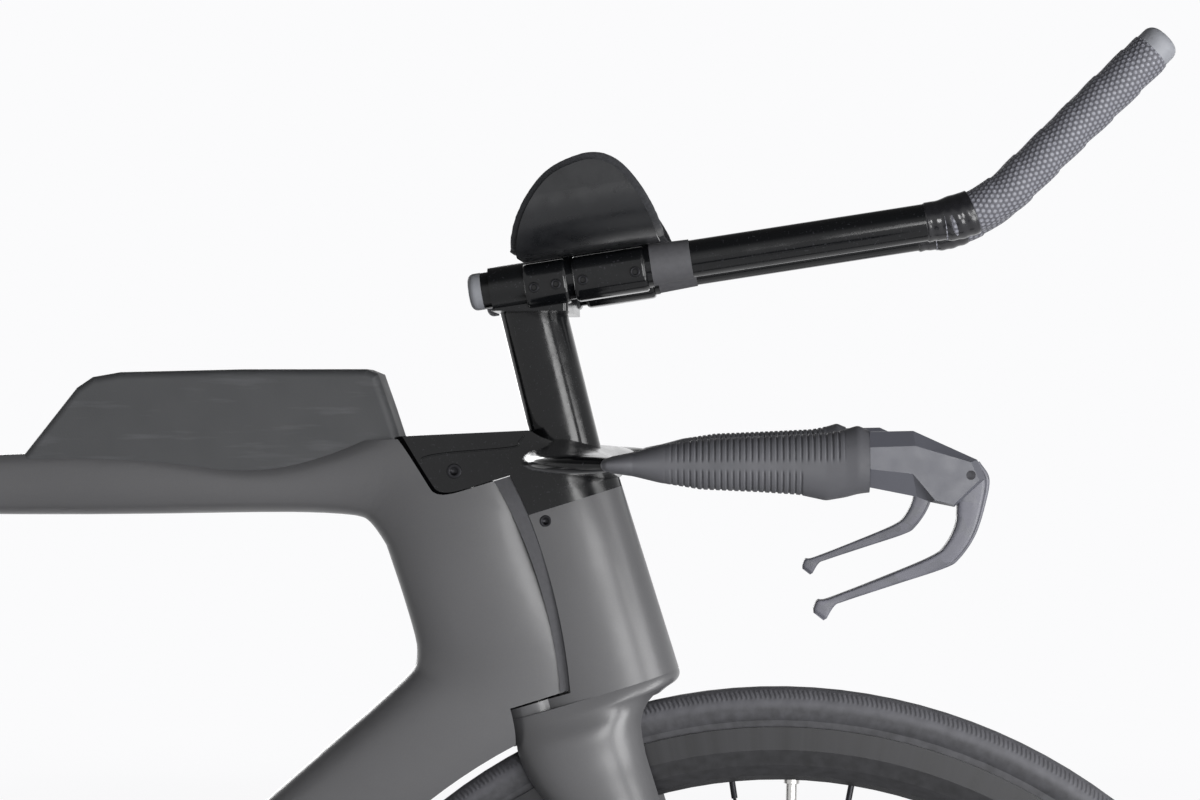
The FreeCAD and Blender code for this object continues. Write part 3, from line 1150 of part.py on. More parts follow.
def spokes(axle, turn, flanges):
    """All spokes of a wheel with their bent heads and nipples, and the tyre's valve."""
    pieces = []
    nose = S.rim_radius - S.rim_depth
    hole_circle = S.flange_radius - S.flange_inset
    for sign, side in flanges:
        face = sign * (side + S.flange_thickness / 2)
        for rim_angle, hub_angle in flange_holes(turn, sign):
            elbow = on_wheel(axle, hole_circle, hub_angle, face + sign * S.spoke_radius * 1.7)
            head = on_wheel(axle, hole_circle, hub_angle, face - sign * S.flange_thickness)
            end = on_wheel(axle, nose + S.rim_wall / 2, rim_angle, 0)
            along = (end - elbow).normalize()
            shank = rod(elbow, end - along * S.nipple_length / 2, S.spoke_radius)
            nipple = rod(end - along * S.nipple_length, end, S.nipple_radius)
            bend = Part.makeSphere(S.spoke_radius, elbow)
            pieces.append(only(shank.fuse([nipple, bend, rod(head, elbow, S.spoke_radius)])))
    foot = on_wheel(axle, nose - S.seat_gap, turn, 0)
    inward = (axle - foot).normalize()
    nut = rod(foot, foot + inward * S.valve_nut_height, S.valve_nut_radius)
    pieces.append(only(nut.fuse(rod(foot, foot + inward * S.valve_length, S.valve_radius))))
    return Part.makeCompound(pieces)


def hub(axle, turn, left, right, left_end, right_end, rotor_side):
    """A hub shell with two drilled flanges, turned on its axle, with its rotor seat on the left."""
    half = S.flange_thickness / 2
    barrel_r = S.hub_barrel_radius
    cap = S.hub_cap_radius
    bore = S.axle_radius + S.shaft_fit
    rotor_face = rotor_side - S.rotor_thickness / 2
    points = [(-right_end, bore), (-right_end, cap), (-right - half * 2, cap), (-right - half, S.flange_radius),
              (-right + half, S.flange_radius), (-right + half * 2, barrel_r), (left - half * 2, barrel_r),
              (left - half, S.flange_radius), (left + half, S.flange_radius), (left + half * 2, barrel_r),
              (rotor_face, barrel_r), (rotor_face, cap), (left_end, cap), (left_end, bore)]
    shell = turned(points, axle, ACROSS, UP)
    holes = []
    for sign, side in ((1, left), (-1, right)):
        for _, hub_angle in flange_holes(turn, sign):
            middle = on_wheel(axle, S.flange_radius - S.flange_inset, hub_angle, sign * side)
            holes.append(rod(middle - ACROSS * S.flange_thickness, middle + ACROSS * S.flange_thickness,
                             S.spoke_radius + S.running_gap))
    return only(shell.cut(holes))


def rotor(axle, side):
    """A brake disc: a drilled track on curved-in arms round its hub seat."""
    half = ACROSS * (S.rotor_thickness / 2)
    middle = axle + ACROSS * side
    track = pipe(middle - half, middle + half, S.rotor_radius, S.rotor_radius - S.rotor_track)
    seat_ring = pipe(middle - half, middle + half, S.rotor_hub_radius, S.hub_cap_radius)
    arms = []
    reach = S.rotor_radius - S.rotor_track / 2 - S.rotor_hub_radius / 2
    for k in range(int(S.rotor_arm_count)):
        out = on_wheel(Vector(0, 0, 0), 1, 360.0 * k / S.rotor_arm_count, 0)
        side_on = Vector(-out.z, 0, out.x)
        centre = middle + out * (S.rotor_hub_radius * 0.7 + reach / 2) + side_on * S.rotor_arm_width * 0.5
        arms.append(block(centre, out, out.cross(ACROSS), reach, S.rotor_thickness, S.rotor_arm_width))
    solid = track.fuse([seat_ring] + arms).cut(rod(middle - half, middle + half, S.hub_cap_radius))
    outer = rod(middle - half, middle + half, S.rotor_radius)
    holes = []
    for k in range(int(S.rotor_slot_count)):
        radius = S.rotor_radius - S.rotor_track * (0.3 if k % 2 else 0.7)
        spot = on_wheel(middle, radius, 360.0 * k / S.rotor_slot_count, 0)
        holes.append(rod(spot - half * 2, spot + half * 2, S.rotor_hole_radius))
    return only(solid.common(outer).cut(holes))


def thru_axle(axle, half_length):
    """A hollow axle through both dropouts with a head on the right."""
    left = axle + ACROSS * half_length
    right = axle - ACROSS * half_length
    head = rod(right, right - ACROSS * S.axle_head_length, S.axle_head_radius)
    solid = rod(left, right, S.axle_radius).fuse(head)
    bore = rod(left + ACROSS * S.overrun, right - ACROSS * S.overrun, S.axle_bore_radius)
    return only(solid.cut(bore))


# Brakes
def caliper_parts(axle, rotor_side, degrees, foot, carrier):
    """A caliper over the rotor's edge, seated on its carrier, with its fixed pad; and its moving pad."""
    across, up = polar(S.caliper_radius, degrees)
    centre = axle + Vector(across, rotor_side, up)
    out = Vector(across, 0, up).normalize()
    along = Vector(out.z, 0, -out.x)
    middle = centre + out * (S.caliper_height * 0.2)
    body = block(middle, along, out, S.caliper_length, S.caliper_width, S.caliper_height)
    body = body.makeFillet(S.caliper_edge, [e for e in body.Edges if e.Length > S.caliper_width + S.seat_gap])
    leg = block(middle + ACROSS * (S.caliper_width / 2), along, out, S.caliper_length * 0.7, foot * 2,
                S.caliper_height * 0.7)
    half = ACROSS * (S.caliper_slot / 2)
    slot = rod(axle + ACROSS * rotor_side - half, axle + ACROSS * rotor_side + half, S.rotor_radius + S.pad_backing)
    body = only(body.fuse(leg).cut([slot, carrier]))
    rest = S.rotor_thickness / 2 + S.pad_travel
    deep = S.caliper_slot / 2 - rest - S.seat_gap
    fixed = block(centre - ACROSS * (rest + deep / 2), along, out, S.pad_length, deep, S.pad_height)
    moving = block(centre + ACROSS * (rest + deep / 2), along, out, S.pad_length, deep, S.pad_height)
    return Part.makeCompound([body, fixed]), moving


# Drivetrain
def pitch_radius(teeth):
    return S.chain_pitch / (2 * math.sin(math.pi / teeth))


COG_TEETH = [11, 12, 13, 14, 15, 17, 19, 21, 23, 25, 28]


class Sprocket:
    """A toothed wheel on the chain's path: its centre in the chain's plane and its sense of turning."""

    def __init__(self, centre, teeth, sense):
        self.centre = centre
        self.teeth = int(teeth)
        self.sense = sense
        self.radius = pitch_radius(self.teeth)
        self.arrive = 0.0
        self.leave = 0.0
        self.phase = 0.0

    def contact(self, heading):
        """Where a chain with this heading touches the pitch circle."""
        return Vector(self.centre.x + self.sense * self.radius * math.sin(heading), 0,
                      self.centre.z - self.sense * self.radius * math.cos(heading))

    def wrap(self):
        turn = (self.leave - self.arrive) * self.sense
        return turn % (2 * math.pi)

    def wrap_length(self):
        return self.wrap() * self.teeth * S.chain_pitch / (2 * math.pi)


def guide_centre():
    return Vector(REAR_AXLE.x + S.guide_ahead, 0, REAR_AXLE.z - S.guide_drop)


def chain_loop(cage_angle):
    """The four wheels of the chain's path in order, with the headings of the runs between them."""
    guide = guide_centre()
    across, up = polar(S.cage_length, cage_angle)
    loop = [Sprocket(BB, S.chainring_teeth, -1),
            Sprocket(Vector(guide.x + across, 0, guide.z + up), S.pulley_teeth, -1),
            Sprocket(guide, S.pulley_teeth, 1),
            Sprocket(REAR_AXLE, COG_TEETH[int(S.chain_cog)], -1)]
    length = 0.0
    for k, first in enumerate(loop):
        second = loop[(k + 1) % len(loop)]
        gap = second.centre - first.centre
        far = math.hypot(gap.x, gap.z)
        heading = math.atan2(gap.z, gap.x) + math.asin(
            (first.sense * first.radius - second.sense * second.radius) / far)
        first.leave = heading
        second.arrive = heading
        length += (second.contact(heading) - first.contact(heading)).Length
    return loop, length + sum(wheel.wrap_length() for wheel in loop)


def tuned_cage_angle():
    """The cage angle, near the wanted one, at which the chain is a whole even number of links."""
    wanted = chain_loop(S.cage_angle)[1]
    links = 2 * round(wanted / S.chain_pitch / 2)
    low, high = S.cage_angle - 25, S.cage_angle + 25
    rising = chain_loop(high)[1] > chain_loop(low)[1]
    for _ in range(60):
        middle = (low + high) / 2
        longer = chain_loop(middle)[1] > links * S.chain_pitch
        if longer == rising:
            high = middle
        else:
            low = middle
    return middle, links


CAGE_ANGLE, LINK_COUNT = tuned_cage_angle()
LOOP = chain_loop(CAGE_ANGLE)[0]


def chain_points():
    """The centre of every roller round the loop, one pitch apart, and each wheel's tooth phase."""
    points = []
    start = 0.0
    place = 0.0
    for k, wheel in enumerate(LOOP):
        following = LOOP[(k + 1) % len(LOOP)]
        first = wheel.contact(wheel.arrive)
        base = math.atan2(first.z - wheel.centre.z, first.x - wheel.centre.x)
        wheel.phase = None
        while place < start + wheel.wrap_length():
            angle = base + wheel.sense * (place - start) / wheel.wrap_length() * wheel.wrap()
            if wheel.phase is None:
                wheel.phase = angle
            points.append(wheel.centre + Vector(math.cos(angle), 0, math.sin(angle)) * wheel.radius)
            place += S.chain_pitch
        start += wheel.wrap_length()
        begin = wheel.contact(wheel.leave)
        run = following.contact(wheel.leave) - begin
        while place < start + run.Length:
            points.append(begin + run * ((place - start) / run.Length))
            place += S.chain_pitch
        start += run.Length
    return points[:LINK_COUNT]


CHAIN_POINTS = chain_points()
CHAIN_PLANE = ACROSS * -S.chain_side


def link_plate(offset, pitch):
    """One waisted side plate between two rollers, at an offset across the chain."""
    shift = ACROSS * offset
    thick = ACROSS * S.chain_plate
    ends = [Part.makeCylinder(S.chain_plate_radius, S.chain_plate, shift + AHEAD * x, ACROSS) for x in (0, pitch)]
    waist = Part.makeBox(pitch, S.chain_plate, S.chain_waist * 2, shift - UP * S.chain_waist)
    return ends[0].fuse([ends[1], waist])


def chain_links():
    """An inner link with its rollers and an outer link with its pins, both lying along X."""
    pitch = S.chain_pitch
    inner_low = S.chain_inner_half
    outer_low = inner_low + S.chain_plate + S.chain_plate_gap
    spots = (Vector(0, 0, 0), AHEAD * pitch)
    bore = S.chain_pin_radius + S.chain_plate_gap
    rollers = [rod(p - ACROSS * inner_low, p + ACROSS * inner_low, S.roller_radius) for p in spots]
    inner = link_plate(inner_low, pitch).fuse([link_plate(-inner_low - S.chain_plate, pitch)] + rollers)
    inner = only(inner.cut([rod(p - ACROSS * pitch, p + ACROSS * pitch, bore) for p in spots]))
    reach = outer_low + S.chain_plate
    pins = [rod(p - ACROSS * reach, p + ACROSS * reach, S.chain_pin_radius) for p in spots]
    outer = only(link_plate(outer_low, pitch).fuse([link_plate(-reach, pitch)] + pins))
    return inner, outer


def chain():
    pair = chain_links()
    links = []
    for k, point in enumerate(CHAIN_POINTS):
        after = CHAIN_POINTS[(k + 1) % LINK_COUNT]
        along = after - point
        turn = math.degrees(math.atan2(along.z, along.x))
        link = pair[k % 2].copy()
        link.Placement = Placement(point + CHAIN_PLANE, Rotation(ACROSS, -turn))
        links.append(link)
    return Part.makeCompound(links)


def toothed_disc(wheel, thickness, middle, bore):
    """A sprocket disc whose gaps sit under the chain's rollers."""
    step = 2 * math.pi / wheel.teeth
    seat_radius = S.roller_radius + S.running_gap / 2
    tip = wheel.radius + S.tooth_height
    open_angle = math.radians(62)
    edges = []
    low = ACROSS * (-thickness / 2)
    previous = None
    first = None
    for k in range(wheel.teeth):
        angle = wheel.phase + k * step
        out = Vector(math.cos(angle), 0, math.sin(angle))
        along = Vector(-out.z, 0, out.x)
        hollow = middle + low + out * wheel.radius
        left = hollow - out * seat_radius * math.cos(open_angle) - along * seat_radius * math.sin(open_angle)
        right = hollow - out * seat_radius * math.cos(open_angle) + along * seat_radius * math.sin(open_angle)
        tips = []
        for sign in (-1, 1):
            turn = angle + sign * (step / 2 - S.tooth_tip / 2 / tip)
            tips.append(middle + low + Vector(math.cos(turn), 0, math.sin(turn)) * tip)
        if previous is not None:
            edges.append(Part.makeLine(previous, tips[0]))
        else:
            first = tips[0]
        edges.append(Part.makeLine(tips[0], left))
        edges.append(Part.Arc(left, hollow - out * seat_radius, right).toShape())
        edges.append(Part.makeLine(right, tips[1]))
        previous = tips[1]
    edges.append(Part.makeLine(previous, first))
    disc = Part.Face(Part.Wire(edges)).extrude(ACROSS * thickness)
    return disc.cut(rod(middle - ACROSS * thickness, middle + ACROSS * thickness, bore))


def chainring():
    middle = BB + CHAIN_PLANE
    ring = toothed_disc(LOOP[0], S.chainring_thickness, middle, S.chainring_inner_radius)
    tabs = []
    half = ACROSS * (S.chainring_thickness / 2)
    for out in spider_arms():
        spot = middle + out * S.chainring_bolt_circle
        tabs.append(rod(spot - half * 2, spot + half * 2, S.chainring_bolt_radius))
    return only(ring.cut(tabs))


def spider_arms():
    count = int(S.spider_arm_count)
    for k in range(count):
        across, up = polar(1, S.crank_turn + 360.0 / count * (k + 0.5))
        yield Vector(across, 0, up)


def crank_out():
    across, up = polar(1, S.crank_turn)
    return Vector(across, 0, up)


def crank_arm(sign):
    """An arm from the spindle to its pedal eye; sign is -1 on the right and 1 on the left."""
    out = crank_out() * -sign
    root = BB + ACROSS * (sign * S.crank_side)
    eye = root + out * S.crank_length
    half = ACROSS * (S.crank_thickness / 2)
    high = out.cross(ACROSS)
    wires = []
    for k in (0.0, 0.3, 0.7, 1.0):
        tall = between(S.crank_root_radius, S.crank_eye_radius, k) * 0.9
        wires.append(ring_wire(root + out * (S.crank_length * k), high * tall, half * 0.86, 2.8))
    solid = loft(wires).fuse([rod(root - half, root + half, S.crank_root_radius),
                              rod(eye - half, eye + half, S.crank_eye_radius)])
    return solid, root, eye


def pedal_axle(eye, sign, radius):
    inner = eye - ACROSS * (sign * S.crank_thickness / 2)
    outer = eye + ACROSS * (sign * (S.crank_thickness / 2 + S.pedal_gap + S.pedal_axle_length))
    return rod(inner, outer, radius)


def right_crank():
    """The drive-side arm with its hollow spindle and the spider that carries the chainring."""
    solid, root, eye = crank_arm(-1)
    face = BB + CHAIN_PLANE - ACROSS * (S.chainring_thickness / 2)
    arms = [rod(face, root, S.spider_hub_radius)]
    reach = S.chainring_bolt_circle + S.chainring_bolt_radius * 1.6
    for out in spider_arms():
        centre = face + out * (reach / 2) - ACROSS * (S.spider_thickness / 2)
        arms.append(block(centre, out, out.cross(ACROSS), reach, S.spider_thickness, S.spider_arm_width))
        spot = face + out * S.chainring_bolt_circle
        arms.append(rod(spot + ACROSS * S.chainring_thickness, spot - ACROSS * (S.spider_thickness * 1.4),
                        S.chainring_bolt_radius))
    left = BB + ACROSS * (S.crank_side + S.crank_thickness / 2)
    spindle = rod(root, left, S.spindle_radius)
    solid = solid.fuse(arms + [spindle])
    bore = rod(root - ACROSS * S.overrun, left + ACROSS * S.overrun, S.spindle_radius - S.spindle_wall)
    body = only(solid.cut([bore, pedal_axle(eye, -1, S.pedal_axle_radius)]))
    return Part.makeCompound([body, pedal_axle(eye, -1, S.pedal_axle_radius)])


def left_crank():
    solid, root, eye = crank_arm(1)
    half = ACROSS * S.crank_thickness
    body = only(solid.cut([rod(root - half, root + half, S.spindle_radius), pedal_axle(eye, 1, S.pedal_axle_radius)]))
    return Part.makeCompound([body, pedal_axle(eye, 1, S.pedal_axle_radius)])


def bottom_bracket():
    """Two flanged bearing cups pressed into the shell."""
    cups = []
    for sign in (-1, 1):
        face = BB + ACROSS * (sign * S.bb_shell_length / 2)
        cup = rod(face, face - ACROSS * (sign * S.bb_bearing_width), S.bb_bore_radius)
        cup = cup.fuse(rod(face, face + ACROSS * (sign * S.bb_cup_width), S.bb_cup_radius))
        bore = rod(face - ACROSS * S.overrun, face + ACROSS * S.overrun, S.spindle_radius + S.shaft_fit)
        cups.append(only(cup.cut(bore)))
    return Part.makeCompound(cups)


PEDAL_SHARES = [(-0.5, -0.5), (-0.5, 0.2), (-0.3, 0.5), (0.25, 0.5), (0.5, 0.2), (0.5, -0.5)]


def pedal(sign):
    """A broad platform on its axle, thicker at the axle and chamfered to the front and rear."""
    eye = BB + ACROSS * (sign * S.crank_side) + crank_out() * (-sign * S.crank_length)
    near = S.crank_thickness / 2 + S.pedal_gap
    middle = eye + ACROSS * (sign * (near + S.pedal_width / 2))
    points = [middle + AHEAD * (a * S.pedal_length) + UP * (b * S.pedal_height) for a, b in PEDAL_SHARES]
    body = slab(points, S.pedal_width)
    waist = rod(middle - ACROSS * (S.pedal_width / 2), middle + ACROSS * (S.pedal_width / 2), S.pedal_height * 0.6)
    body = body.fuse(waist)
    return only(body.cut(pedal_axle(eye, sign, S.pedal_axle_radius + S.shaft_fit)))


def cassette():
    """The freehub sleeve and its cogs, each on its own plane."""
    inner = REAR_AXLE - ACROSS * (S.chain_side - (S.cog_count - S.chain_cog) * S.cog_spacing)
    outer = REAR_AXLE - ACROSS * (S.rear_hub_length / 2 - S.running_gap)
    sleeve = pipe(inner, outer, S.cog_body_radius, S.axle_radius + S.shaft_fit)
    pieces = [sleeve]
    for k, teeth in enumerate(COG_TEETH):
        wheel = Sprocket(REAR_AXLE, teeth, -1)
        wheel.phase = LOOP[3].phase
        side = S.chain_side + (S.chain_cog - k) * S.cog_spacing
        pieces.append(toothed_disc(wheel, S.tooth_thickness, REAR_AXLE - ACROSS * side, S.cog_body_radius))
    return Part.makeCompound(pieces)


# Rear derailleur
def hanger_bolt():
    return REAR_AXLE - AHEAD * S.hanger_back - UP * S.hanger_drop


def cage_pivot():
    return guide_centre() + AHEAD * S.cage_pivot_ahead + UP * S.cage_pivot_lift


def bar_between(start, end, low_side, high_side, radius):
    """A flat bar with round ends between two points, from low_side to high_side across the bike."""
    along = end - start
    width = high_side - low_side
    middle = (start + end) / 2 + ACROSS * ((low_side + high_side) / 2)
    out = Vector(along).normalize()
    solid = block(middle, out, out.cross(ACROSS), along.Length, width, radius * 2)
    for point in (start, end):
        solid = solid.fuse(rod(point + ACROSS * low_side, point + ACROSS * high_side, radius))
    return solid


HANGER_SIDE = S.rear_hub_length / 2 + S.dropout_plate
KNUCKLE_SIDE = HANGER_SIDE + S.hanger_plate
CAGE_SIDE = S.chain_side + S.cage_gap / 2 + S.cage_plate


def derailleur_hanger():
    plate = bar_between(REAR_AXLE, hanger_bolt(), -KNUCKLE_SIDE, -HANGER_SIDE, S.hanger_radius)
    return only(plate.cut(rod(REAR_AXLE - ACROSS * S.rear_hub_length, REAR_AXLE, S.axle_radius)))


def shift_axis(upper, lower):
    """The direction of the link's two pins: it lets the cage swing in under the larger cogs."""
    inward = Vector(-S.shift_back, 1, -S.shift_drop)
    return inward.cross(lower - upper).normalize()


def derailleur_swing():
    """The knuckle on the hanger, the one that carries the cage, and the link on their pins."""
    width = ACROSS * S.knuckle_width
    upper = hanger_bolt() - ACROSS * KNUCKLE_SIDE
    lower = cage_pivot() - ACROSS * (CAGE_SIDE + S.running_gap)
    start = upper - width / 2
    end = lower - width / 2
    axis = shift_axis(start, end)
    along = end - start
    low = axis * S.link_lift
    high = axis * (S.link_lift + S.link_width)
    link = block((start + end + low + high) / 2, along.normalize(), axis, (end - start).Length, S.link_radius * 2,
                 S.link_width)
    knuckles = []
    for face, spot in ((upper, start), (lower, end)):
        link = link.fuse(rod(spot + low, spot + high, S.link_radius))
        boss = rod(spot, spot + axis * (S.link_lift - S.running_gap), S.link_radius)
        pin = rod(spot, spot + high, S.link_pin_radius)
        knuckles.append(only(rod(face, face - width, S.knuckle_radius).fuse([boss, pin])))
    bores = [rod(spot, spot + high * 2, S.link_pin_radius + S.shaft_fit) for spot in (start, end)]
    return knuckles[0], knuckles[1], only(link.cut(bores))


def tension_centre():
    return LOOP[1].centre


def derailleur_cage():
    """Two plates round the pulleys, joined by the pulleys' bolts, and the pivot pin."""
    guide = guide_centre()
    tension = tension_centre()
    low = S.chain_side - S.cage_gap / 2
    high = S.chain_side + S.cage_gap / 2
    plates = [bar_between(guide, tension, -low, -low + S.cage_plate, S.cage_plate_radius),
              bar_between(guide, tension, -high - S.cage_plate, -high, S.cage_plate_radius)]
    plates.append(bar_between(guide, cage_pivot(), -high - S.cage_plate, -high, S.knuckle_radius))
    for centre in (guide, tension):
        plates.append(rod(centre - ACROSS * (high + S.cage_plate), centre - ACROSS * (low - S.cage_plate),
                          S.pulley_bore_radius))
    solid = plates[0].fuse(plates[1:])
    return only(solid)


def pulley(wheel):
    return toothed_disc(wheel, S.pulley_thickness, wheel.centre + CHAIN_PLANE, S.pulley_bore_radius + S.shaft_fit)


# Assembly
def lever_side(blade, sign, angle):
    """A brake lever turned about its pin to its reach setting."""
    pin = lever_pin(sign * S.bar_reach)
    lever = blade.copy()
    lever.rotate(pin, ACROSS, angle)
    return lever


def build():
    frame_solid = add("main_frame", main_frame())
    rear_solid = add("rear_triangle", rear_triangle(frame_solid))
    add("head_gap_seal", head_gap_seal())
    add("headset_bearings", headset_bearings())
    crown, legs = fork()
    add("fork", crown)
    add("fork_legs", legs)
    add("steerer_tube", pipe(steer(S.steerer_foot, 0), steer(S.steerer_top, 0), S.steerer_radius,
                             S.steerer_radius - S.steerer_wall))
    bar = add("base_bar", base_bar())
    stem_solid = add("stem", stem(bar))
    add("cockpit_bolts", cockpit_bolts())
    add("base_bar_grips", both(grip(bar)))
    add("lever_bodies", both(lever_body()))
    add("right_brake_lever", brake_lever(-S.bar_reach))
    add("left_brake_lever", lever_side(brake_lever(S.bar_reach), 1, -S.left_lever_reach_angle))
    add("riser_post", Part.makeCompound([riser_post(stem_solid, bar), extension_bridge()]))
    add("extension_holders", both(extension_holder()))
    add("extensions", both(extension()))
    add("extension_sleeves", both(extension_sleeve()))
    add("bar_tapes", both(bar_tape()))
    add("bar_plugs", Part.makeCompound(bar_plugs()))
    add("arm_cups", both(arm_cup()))
    add("arm_pads", both(arm_pad()))
    body, lid = storage_boxes(frame_solid)
    add("storage_box", body)
    add("storage_box_lid", lid)
    post = add("seatpost", seatpost())
    rails = add("saddle_rails", saddle_rails())
    add("saddle_clamp", saddle_clamp(rails, post))
    add("saddle_shell", saddle_shell(rails))
    add("saddle_cover", saddle_cover())
    front_turn = S.front_wheel_turn
    flanges = ((1, S.front_flange_side), (-1, S.front_flange_side))
    tyre("front_tyre", FRONT_AXLE)
    rim("front_rim", FRONT_AXLE, front_turn + 180.0 / S.spoke_count)
    add("front_spokes", spokes(FRONT_AXLE, front_turn, flanges))
    end = S.front_hub_length / 2 - S.running_gap
    add("front_hub", hub(FRONT_AXLE, front_turn, S.front_flange_side, S.front_flange_side, end, end,
                         S.front_rotor_side))
    add("front_rotor", rotor(FRONT_AXLE, S.front_rotor_side))
    add("front_axle", thru_axle(FRONT_AXLE, S.dropout_width / 2))
    flanges = ((1, S.rear_flange_left), (-1, S.rear_flange_right))
    tyre("rear_tyre", REAR_AXLE)
    rim("rear_rim", REAR_AXLE, 180.0 / S.spoke_count)
    add("rear_spokes", spokes(REAR_AXLE, 0.0, flanges))
    inner = S.chain_side - (S.cog_count - S.chain_cog) * S.cog_spacing - S.running_gap
    add("rear_hub", hub(REAR_AXLE, 0.0, S.rear_flange_left, S.rear_flange_right,
                        S.rear_hub_length / 2 - S.running_gap, inner, S.rear_rotor_side))
    add("rear_rotor", rotor(REAR_AXLE, S.rear_rotor_side))
    add("rear_axle", thru_axle(REAR_AXLE, KNUCKLE_SIDE))
    fixed, moving = caliper_parts(FRONT_AXLE, S.front_rotor_side, S.front_caliper_angle, S.front_caliper_foot,
                                  legs)
    add("front_caliper", fixed)
    add("front_brake_pad", moving)
    fixed, moving = caliper_parts(REAR_AXLE, S.rear_rotor_side, S.rear_caliper_angle, S.rear_caliper_foot,
                                  rear_solid)
    add("rear_caliper", fixed)
    add("rear_brake_pad", moving)
    add("bottom_bracket", bottom_bracket())
    add("right_crank", right_crank())
    add("left_crank", left_crank())
    add("chainring", chainring())
    add("right_pedal", pedal(-1))
    add("left_pedal", pedal(1))
    add("cassette", cassette())
    add("chain", chain())
    add("derailleur_hanger", derailleur_hanger())
    upper, lower, link = derailleur_swing()
    add("derailleur_knuckle", upper)
    add("derailleur_mount", lower)
    add("derailleur_link", link)
    add("derailleur_cage", derailleur_cage())
    add("guide_pulley", pulley(LOOP[2]))
    add("tension_pulley", pulley(LOOP[1]))


def write_parts():
    doc.recompute()
    for item in doc.Objects:
        if "Invalid" in item.State or "Error" in item.State:
            raise RuntimeError("%s could not be computed" % item.Label)
    for node in NODES:
        if node.Shape.isNull() or not node.Shape.isValid():
            raise RuntimeError("%s has no valid shape" % node.Label)
    os.makedirs("parts", exist_ok=True)
    for node in NODES:
        node.Shape.exportStep("parts/%s.step" % node.Label)
        print("%-22s %3d solids %10.0f mm3" % (node.Label, len(node.Shape.Solids), node.Shape.Volume))


build()
write_parts()
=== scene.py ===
# %% [markdown]
# # A time trial bike, dressed for its portrait
# The solid model already gives every tube, wheel and lever its place and size. This lesson loads that
# model as a fixed frame, gives each part the finish of its real material, and makes the soft, ribbed and
# wound pieces again as fine surfaces. Lengths are in metres: +X is forward, +Y is the bike's left, +Z is up.

# %% Load the bike
import math

import bpy
import numpy as np
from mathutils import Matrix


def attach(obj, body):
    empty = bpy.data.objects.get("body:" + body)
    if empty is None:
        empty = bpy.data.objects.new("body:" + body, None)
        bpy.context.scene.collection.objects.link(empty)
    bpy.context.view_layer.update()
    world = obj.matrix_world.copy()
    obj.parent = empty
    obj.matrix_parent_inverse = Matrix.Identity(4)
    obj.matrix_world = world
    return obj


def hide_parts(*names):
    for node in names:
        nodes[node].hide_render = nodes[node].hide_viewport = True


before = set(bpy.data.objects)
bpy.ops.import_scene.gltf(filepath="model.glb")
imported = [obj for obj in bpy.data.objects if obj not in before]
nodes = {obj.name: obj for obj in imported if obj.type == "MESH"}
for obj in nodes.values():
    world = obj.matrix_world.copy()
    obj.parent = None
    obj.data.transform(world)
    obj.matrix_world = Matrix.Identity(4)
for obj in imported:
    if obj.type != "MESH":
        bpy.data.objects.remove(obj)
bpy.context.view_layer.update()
FRONT_AXLE = np.array([0.513, 0.0, 0.336])
REAR_AXLE = np.array([-0.513, 0.0, 0.336])
ACROSS = np.array([0.0, 1.0, 0.0])

# %% [markdown]
# ## The camera
# The photograph was taken from the right side with a long lens, level with the handlebar. A long lens
# keeps the near and the far lever almost the same size, so the lens and the distance matter as much as
# the angle. The numbers come from matching the two brake hoods, the arm rests and the wheel.

# %% Camera
lens = bpy.data.cameras.new("portrait_lens")
lens.lens = 75.9
lens.sensor_width = 36.0
lens.clip_end = 200.0
camera = bpy.data.objects.new("portrait_camera", lens)
camera.location = (0.5028, -1.5528, 0.8373)
camera.rotation_euler = (math.radians(90.36), 0.0, math.radians(3.70))
bpy.context.scene.collection.objects.link(camera)
bpy.context.scene.camera = camera
bpy.context.scene.view_settings.view_transform = "Standard"
print("camera at", [round(x, 3) for x in camera.location])

# %% [markdown]
# ## Small tools for materials
# Colours are picked as the eye sees them, as sRGB hex values, but shaders count light, so one function
# turns them into linear numbers. Another adds one node with its settings and its links, so that each
# material below can be read from the surface coordinate to the shader. Most materials end alike: a colour
# that wanders between two tones, a roughness that wanders too, and a grain that leans the surface a little.

# %% Colour and node tools
MIX_FACTOR, MIX_FIRST, MIX_SECOND, MIX_COLOUR = 0, 6, 7, 2  # the colour sockets among all those of a Mix node
NOISE_LOW, NOISE_HIGH = 0.3, 0.7  # most values of a noise texture lie between these


def linear(code):
    """A channel c up to 0.04045 becomes c / 12.92; above it, ((c + 0.055) / 1.055) to the power 2.4."""
    c = np.array([int(code[i:i + 2], 16) for i in (1, 3, 5)]) / 255.0
    light = np.where(c <= 0.04045, c / 12.92, ((c + 0.055) / 1.055) ** 2.4)
    return (*light.tolist(), 1.0)


def add(tree, kind, links=None, **settings):
    """One node: settings are its own properties, links its sockets, each with a value or another's output."""
    made = tree.nodes.new("ShaderNode" + kind)
    for name, value in settings.items():
        setattr(made, name, value)
    for name, value in (links or {}).items():
        if isinstance(value, bpy.types.NodeSocket):
            tree.links.new(value, made.inputs[name])
        else:
            made.inputs[name].default_value = value
    return made.outputs


def material(name):
    """A new material, its empty tree, and the Object coordinate in metres."""
    made = bpy.data.materials.new(name)
    made.use_nodes = True
    made.node_tree.nodes.clear()
    return made, made.node_tree, add(made.node_tree, "TexCoord")["Object"]


